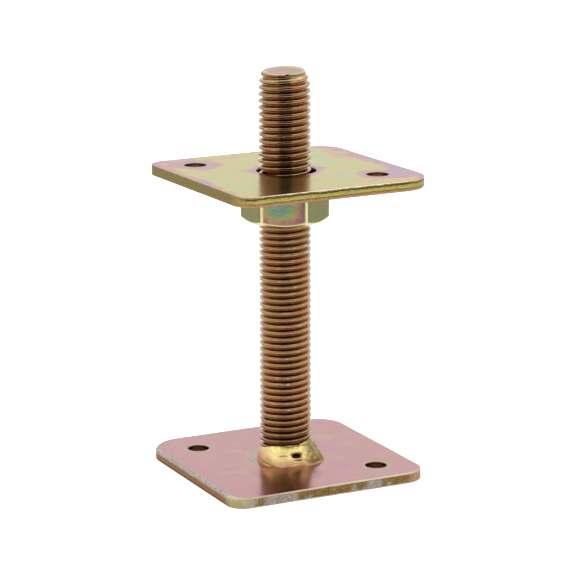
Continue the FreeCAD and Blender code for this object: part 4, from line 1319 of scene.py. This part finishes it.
def nut_finish():
    mat, g, bsdf = metal("nut_plating", (1.0, 1.0, 0.97))
    p, x, y, z = coords_mm(g, NUT_TURN, (0.0, 0.0, 104.2))
    angle = g.math("ARCTAN2", y, x)
    sector = g.math("ROUND", g.math("DIVIDE", angle, math.pi / 3))
    local = g.math("SUBTRACT", angle, g.math("MULTIPLY", sector, math.pi / 3))
    across = g.math("MULTIPLY", g.math("TANGENT", local), NUT_FLATS / 2.0)
    big = g.noise(p, 0.14, 2.0, 0.5, 0.4, seed=21.0)
    mid = g.noise(p, 0.75, 3.0, 0.6, 0.3, seed=23.0)
    fine = g.noise(p, 2.8, 4.0, 0.65, seed=25.0)
    # away from a face's middle, where the film is thinner
    u = g.math("DIVIDE", g.math("ADD", across, 1.2), 8.5)
    v = g.math("DIVIDE", g.math("ADD", z, 0.4), 6.3)
    away = g.math("SQRT", g.math("ADD", g.math("POWER", g.math("ABSOLUTE", u), 2.6), g.math("POWER", g.math("ABSOLUTE", v), 2.6)))
    away = g.math("ADD", away, g.math("MULTIPLY", g.math("SUBTRACT", mid, 0.5), 0.50))
    away = g.math("ADD", away, g.math("MULTIPLY", g.math("SUBTRACT", big, 0.5), 0.35))
    rich = g.ramp(away, [
        (0.0, (142, 166, 152)),
        (0.20, (146, 170, 142)),
        (0.42, (156, 176, 126)),
        (0.60, (182, 174, 112)),
        (0.74, (190, 150, 120)),
        (0.88, (176, 130, 122)),
        (1.0, (156, 116, 108)),
    ])
    plain = g.ramp(g.math("ADD", g.math("MULTIPLY", mid, 0.7), g.math("MULTIPLY", big, 0.3)), [
        (0.25, (128, 120, 72)),
        (0.5, (134, 130, 82)),
        (0.75, (130, 138, 98)),
    ])
    plain = g.mix(0.8, plain, g.ramp(fine, [(0.32, (196, 196, 190)), (0.5, (236, 236, 232)), (0.66, (255, 255, 255))]), blend="MULTIPLY")
    # flats that lay open in the bath took the thick film, their neighbours did not
    pick = g.put("ShaderNodeTexWhiteNoise", noise_dimensions="1D")
    g.feed(pick.inputs["W"], g.math("ADD", sector, 3.7))
    third = g.math("ABSOLUTE", g.math("SUBTRACT", g.math("MODULO", g.math("ADD", sector, 12.0 + NUT_PICK), 3.0), 0.0))
    share = g.span(third, 0.2, 0.8, 1.0, 0.0)
    side = g.mix(share, plain, rich)
    r = g.math("SQRT", g.math("ADD", g.math("MULTIPLY", x, x), g.math("MULTIPLY", y, y)))
    tall = g.math("ABSOLUTE", z)
    # painted highlight on the rounded corners and the chamfers, in light lime and cream; the end faces a cream olive
    corner_highlight = g.ramp(mid, [(0.3, (222, 212, 150)), (0.5, (228, 224, 166)), (0.7, (216, 226, 170))])
    edge = g.span(g.math("ABSOLUTE", across), 7.65, 8.15)
    side = g.mix(edge, side, corner_highlight)
    cham = g.math("SUBTRACT", g.math("ADD", tall, g.math("MULTIPLY", g.math("SUBTRACT", r, NUT_FACE), 0.577)), 7.6)
    side = g.mix(g.span(cham, -0.65, -0.20), side, corner_highlight)
    ends = g.math("MULTIPLY", g.span(tall, 7.45, 7.55), g.span(r, 14.4, 14.0))
    side = g.mix(ends, side, g.ramp(mid, [(0.3, (206, 190, 110)), (0.7, (196, 200, 124))]))
    bore = g.span(r, 10.9, 10.5)
    side = g.mix(bore, side, lin((150, 104, 58)))
    g.feed(bsdf.inputs["Base Color"], side)
    g.feed(bsdf.inputs["Roughness"], g.math("ADD", 0.20, g.math("MULTIPLY", fine, 0.14)))
    height = g.math("ADD", g.math("MULTIPLY", fine, 0.5), g.math("MULTIPLY", mid, 0.8))
    g.feed(bsdf.inputs["Normal"], g.bump(height, 0.35, 0.00010))
    return mat


NUT_PICK = 2.0
nut_mat = nut_finish()
nut = make_nut(nut_mat)

# -------------------------------------------------------- ride and replace
for obj, body, node, slot in (
    (base, "ground", "base_plate", "ground_plate_plating"),
    (rod, "ground", "threaded_rod", "rod_plating"),
    (weld, "ground", "base_weld", "weld_plating"),
    (top, "post_plate", "top_plate", "post_plate_plating"),
    (nut, "nut", "hex_nut", "nut_plating"),
):
    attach(obj, body)
    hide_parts(node)


# ------------------------------------------------------------- floor and light
def floor_material(name, value, glow=0.0):
    mat = bpy.data.materials.new(name)
    mat.use_nodes = True
    mat.node_tree.nodes.clear()
    g = Graph(mat.node_tree)
    out = g.put("ShaderNodeOutputMaterial")
    d = g.put("ShaderNodeBsdfDiffuse")
    tex = g.put("ShaderNodeTexCoord")
    n = g.noise(tex.outputs["Object"], 3.0, 2.0, 0.5, seed=1.0)
    tone = g.span(n, 0.0, 1.0, value - 0.01, value + 0.01)
    g.feed(d.inputs["Color"], tone)
    if glow:
        # a backlit acrylic sheet
        e = g.put("ShaderNodeEmission")
        e.inputs["Strength"].default_value = glow
        both = g.put("ShaderNodeAddShader")
        g.links.new(d.outputs[0], both.inputs[0])
        g.links.new(e.outputs[0], both.inputs[1])
        g.links.new(both.outputs[0], out.inputs[0])
    else:
        g.links.new(d.outputs[0], out.inputs[0])
    return mat


def sheet_in_view_frame(name, x0, x1, y0, y1, z, material):
    corners = [from_view(x, y, z) for x, y in ((x0, y0), (x1, y0), (x1, y1), (x0, y1))]
    mesh = bpy.data.meshes.new(name)
    mesh.from_pydata(corners, [], [(0, 1, 2, 3)])
    obj = bpy.data.objects.new(name, mesh)
    bpy.context.scene.collection.objects.link(obj)
    mesh.materials.append(material)
    return obj


floor = sheet_in_view_frame("floor", -12, 12, -12, 12, -0.00005, floor_material("floor_sheet", 0.95, 0.75))
floor.visible_glossy = False
floor.visible_diffuse = False
floor.visible_transmission = False
floor.visible_shadow = False
# what the metal sees below it: the same paper, which ends a little in front
table = sheet_in_view_frame("table", -2.4, 2.4, -0.63, 3.0, -0.0002, floor_material("table_paper", 0.92))
table.visible_camera = False


def dark_card(x0, x1, y, z0, z1):
    """A black board standing across the view, over the lens, seen only in the metal."""
    corners = [from_view(x, y, z) for x, z in ((x0, z0), (x1, z0), (x1, z1), (x0, z1))]
    mesh = bpy.data.meshes.new("dark_card")
    mesh.from_pydata(corners, [], [(0, 1, 2, 3)])
    obj = bpy.data.objects.new("dark_card", mesh)
    bpy.context.scene.collection.objects.link(obj)
    mesh.materials.append(floor_material("dark_board", 0.02))
    obj.visible_camera = False
    obj.visible_diffuse = False
    obj.visible_shadow = False
    return obj


dark_card(-0.028, 0.046, -0.062, 0.148, 0.250)


def area_light(name, size, place, target, power, colour=(1, 1, 1)):
    light = bpy.data.lights.new(name, "AREA")
    light.shape = "RECTANGLE"
    light.size, light.size_y = size
    light.energy = power
    light.color = colour
    obj = bpy.data.objects.new(name, light)
    bpy.context.scene.collection.objects.link(obj)
    spot = Vector(from_view(*place))
    aim = Vector(from_view(*target)) - spot
    obj.location = spot
    obj.rotation_euler = aim.to_track_quat("-Z", "Y").to_euler()
    obj.visible_camera = False
    return obj


area_light("top_softbox", (1.6, 1.6), (0.0, 0.15, 1.15), (0.0, 0.10, 0.05), 7.6)


def make_world():
    world = bpy.data.worlds.new("studio")
    bpy.context.scene.world = world
    world.use_nodes = True
    world.node_tree.nodes.clear()
    g = Graph(world.node_tree)
    out = g.put("ShaderNodeOutputWorld")
    tex = g.put("ShaderNodeTexCoord")
    d = tex.outputs["Generated"]
    front = from_view(0, -1, 0)
    right = from_view(1, 0, 0)
    f = g.vec("DOT_PRODUCT", d, front, out=1)
    r = g.vec("DOT_PRODUCT", d, right, out=1)
    sep = g.put("ShaderNodeSeparateXYZ")
    g.feed(sep.inputs[0], d)
    up = sep.outputs[2]
    angle = g.math("ARCTAN2", r, f)  # 0 towards the front, + to the right
    wide = g.math("ABSOLUTE", angle)
    level = g.span(wide, math.radians(55), math.radians(105), 0.50, 1.0)
    high = g.span(up, 0.32, 0.62)
    level = g.mix(high, level, 1.22, kind="FLOAT")
    # the soft box adds its own light to the ceiling behind it
    level = g.mix(g.span(up, 0.80, 0.92), level, 0.42, kind="FLOAT")
    # the unlit front of the room
    left_side = g.span(angle, math.radians(-31.0), math.radians(-29.0))
    right_side = g.span(angle, math.radians(29.0), math.radians(36.0), 1.0, 0.0)
    gap = g.math("MULTIPLY", left_side, right_side)
    # dark to a little above eye level, with a dim window in it
    gap = g.math("MULTIPLY", gap, g.span(up, 0.30, 0.37, 1.0, 0.0))
    window = g.math("MULTIPLY", g.span(up, 0.14, 0.18), g.span(up, 0.27, 0.32, 1.0, 0.0))
    unlit = g.mix(window, 0.022, 0.036, kind="FLOAT")
    level = g.mix(gap, level, unlit, kind="FLOAT")
    studio = g.put("ShaderNodeBackground")
    g.feed(studio.inputs["Color"], (1.0, 1.0, 1.0, 1.0))
    g.feed(studio.inputs["Strength"], level)
    paper = g.put("ShaderNodeBackground")
    paper.inputs["Color"].default_value = (1.0, 1.0, 1.0, 1.0)
    paper.inputs["Strength"].default_value = 1.0
    ray = g.put("ShaderNodeLightPath")
    seen = g.put("ShaderNodeMixShader")
    g.links.new(ray.outputs["Is Camera Ray"], seen.inputs[0])
    g.links.new(studio.outputs[0], seen.inputs[1])
    g.links.new(paper.outputs[0], seen.inputs[2])
    g.links.new(seen.outputs[0], out.inputs[0])


make_world()
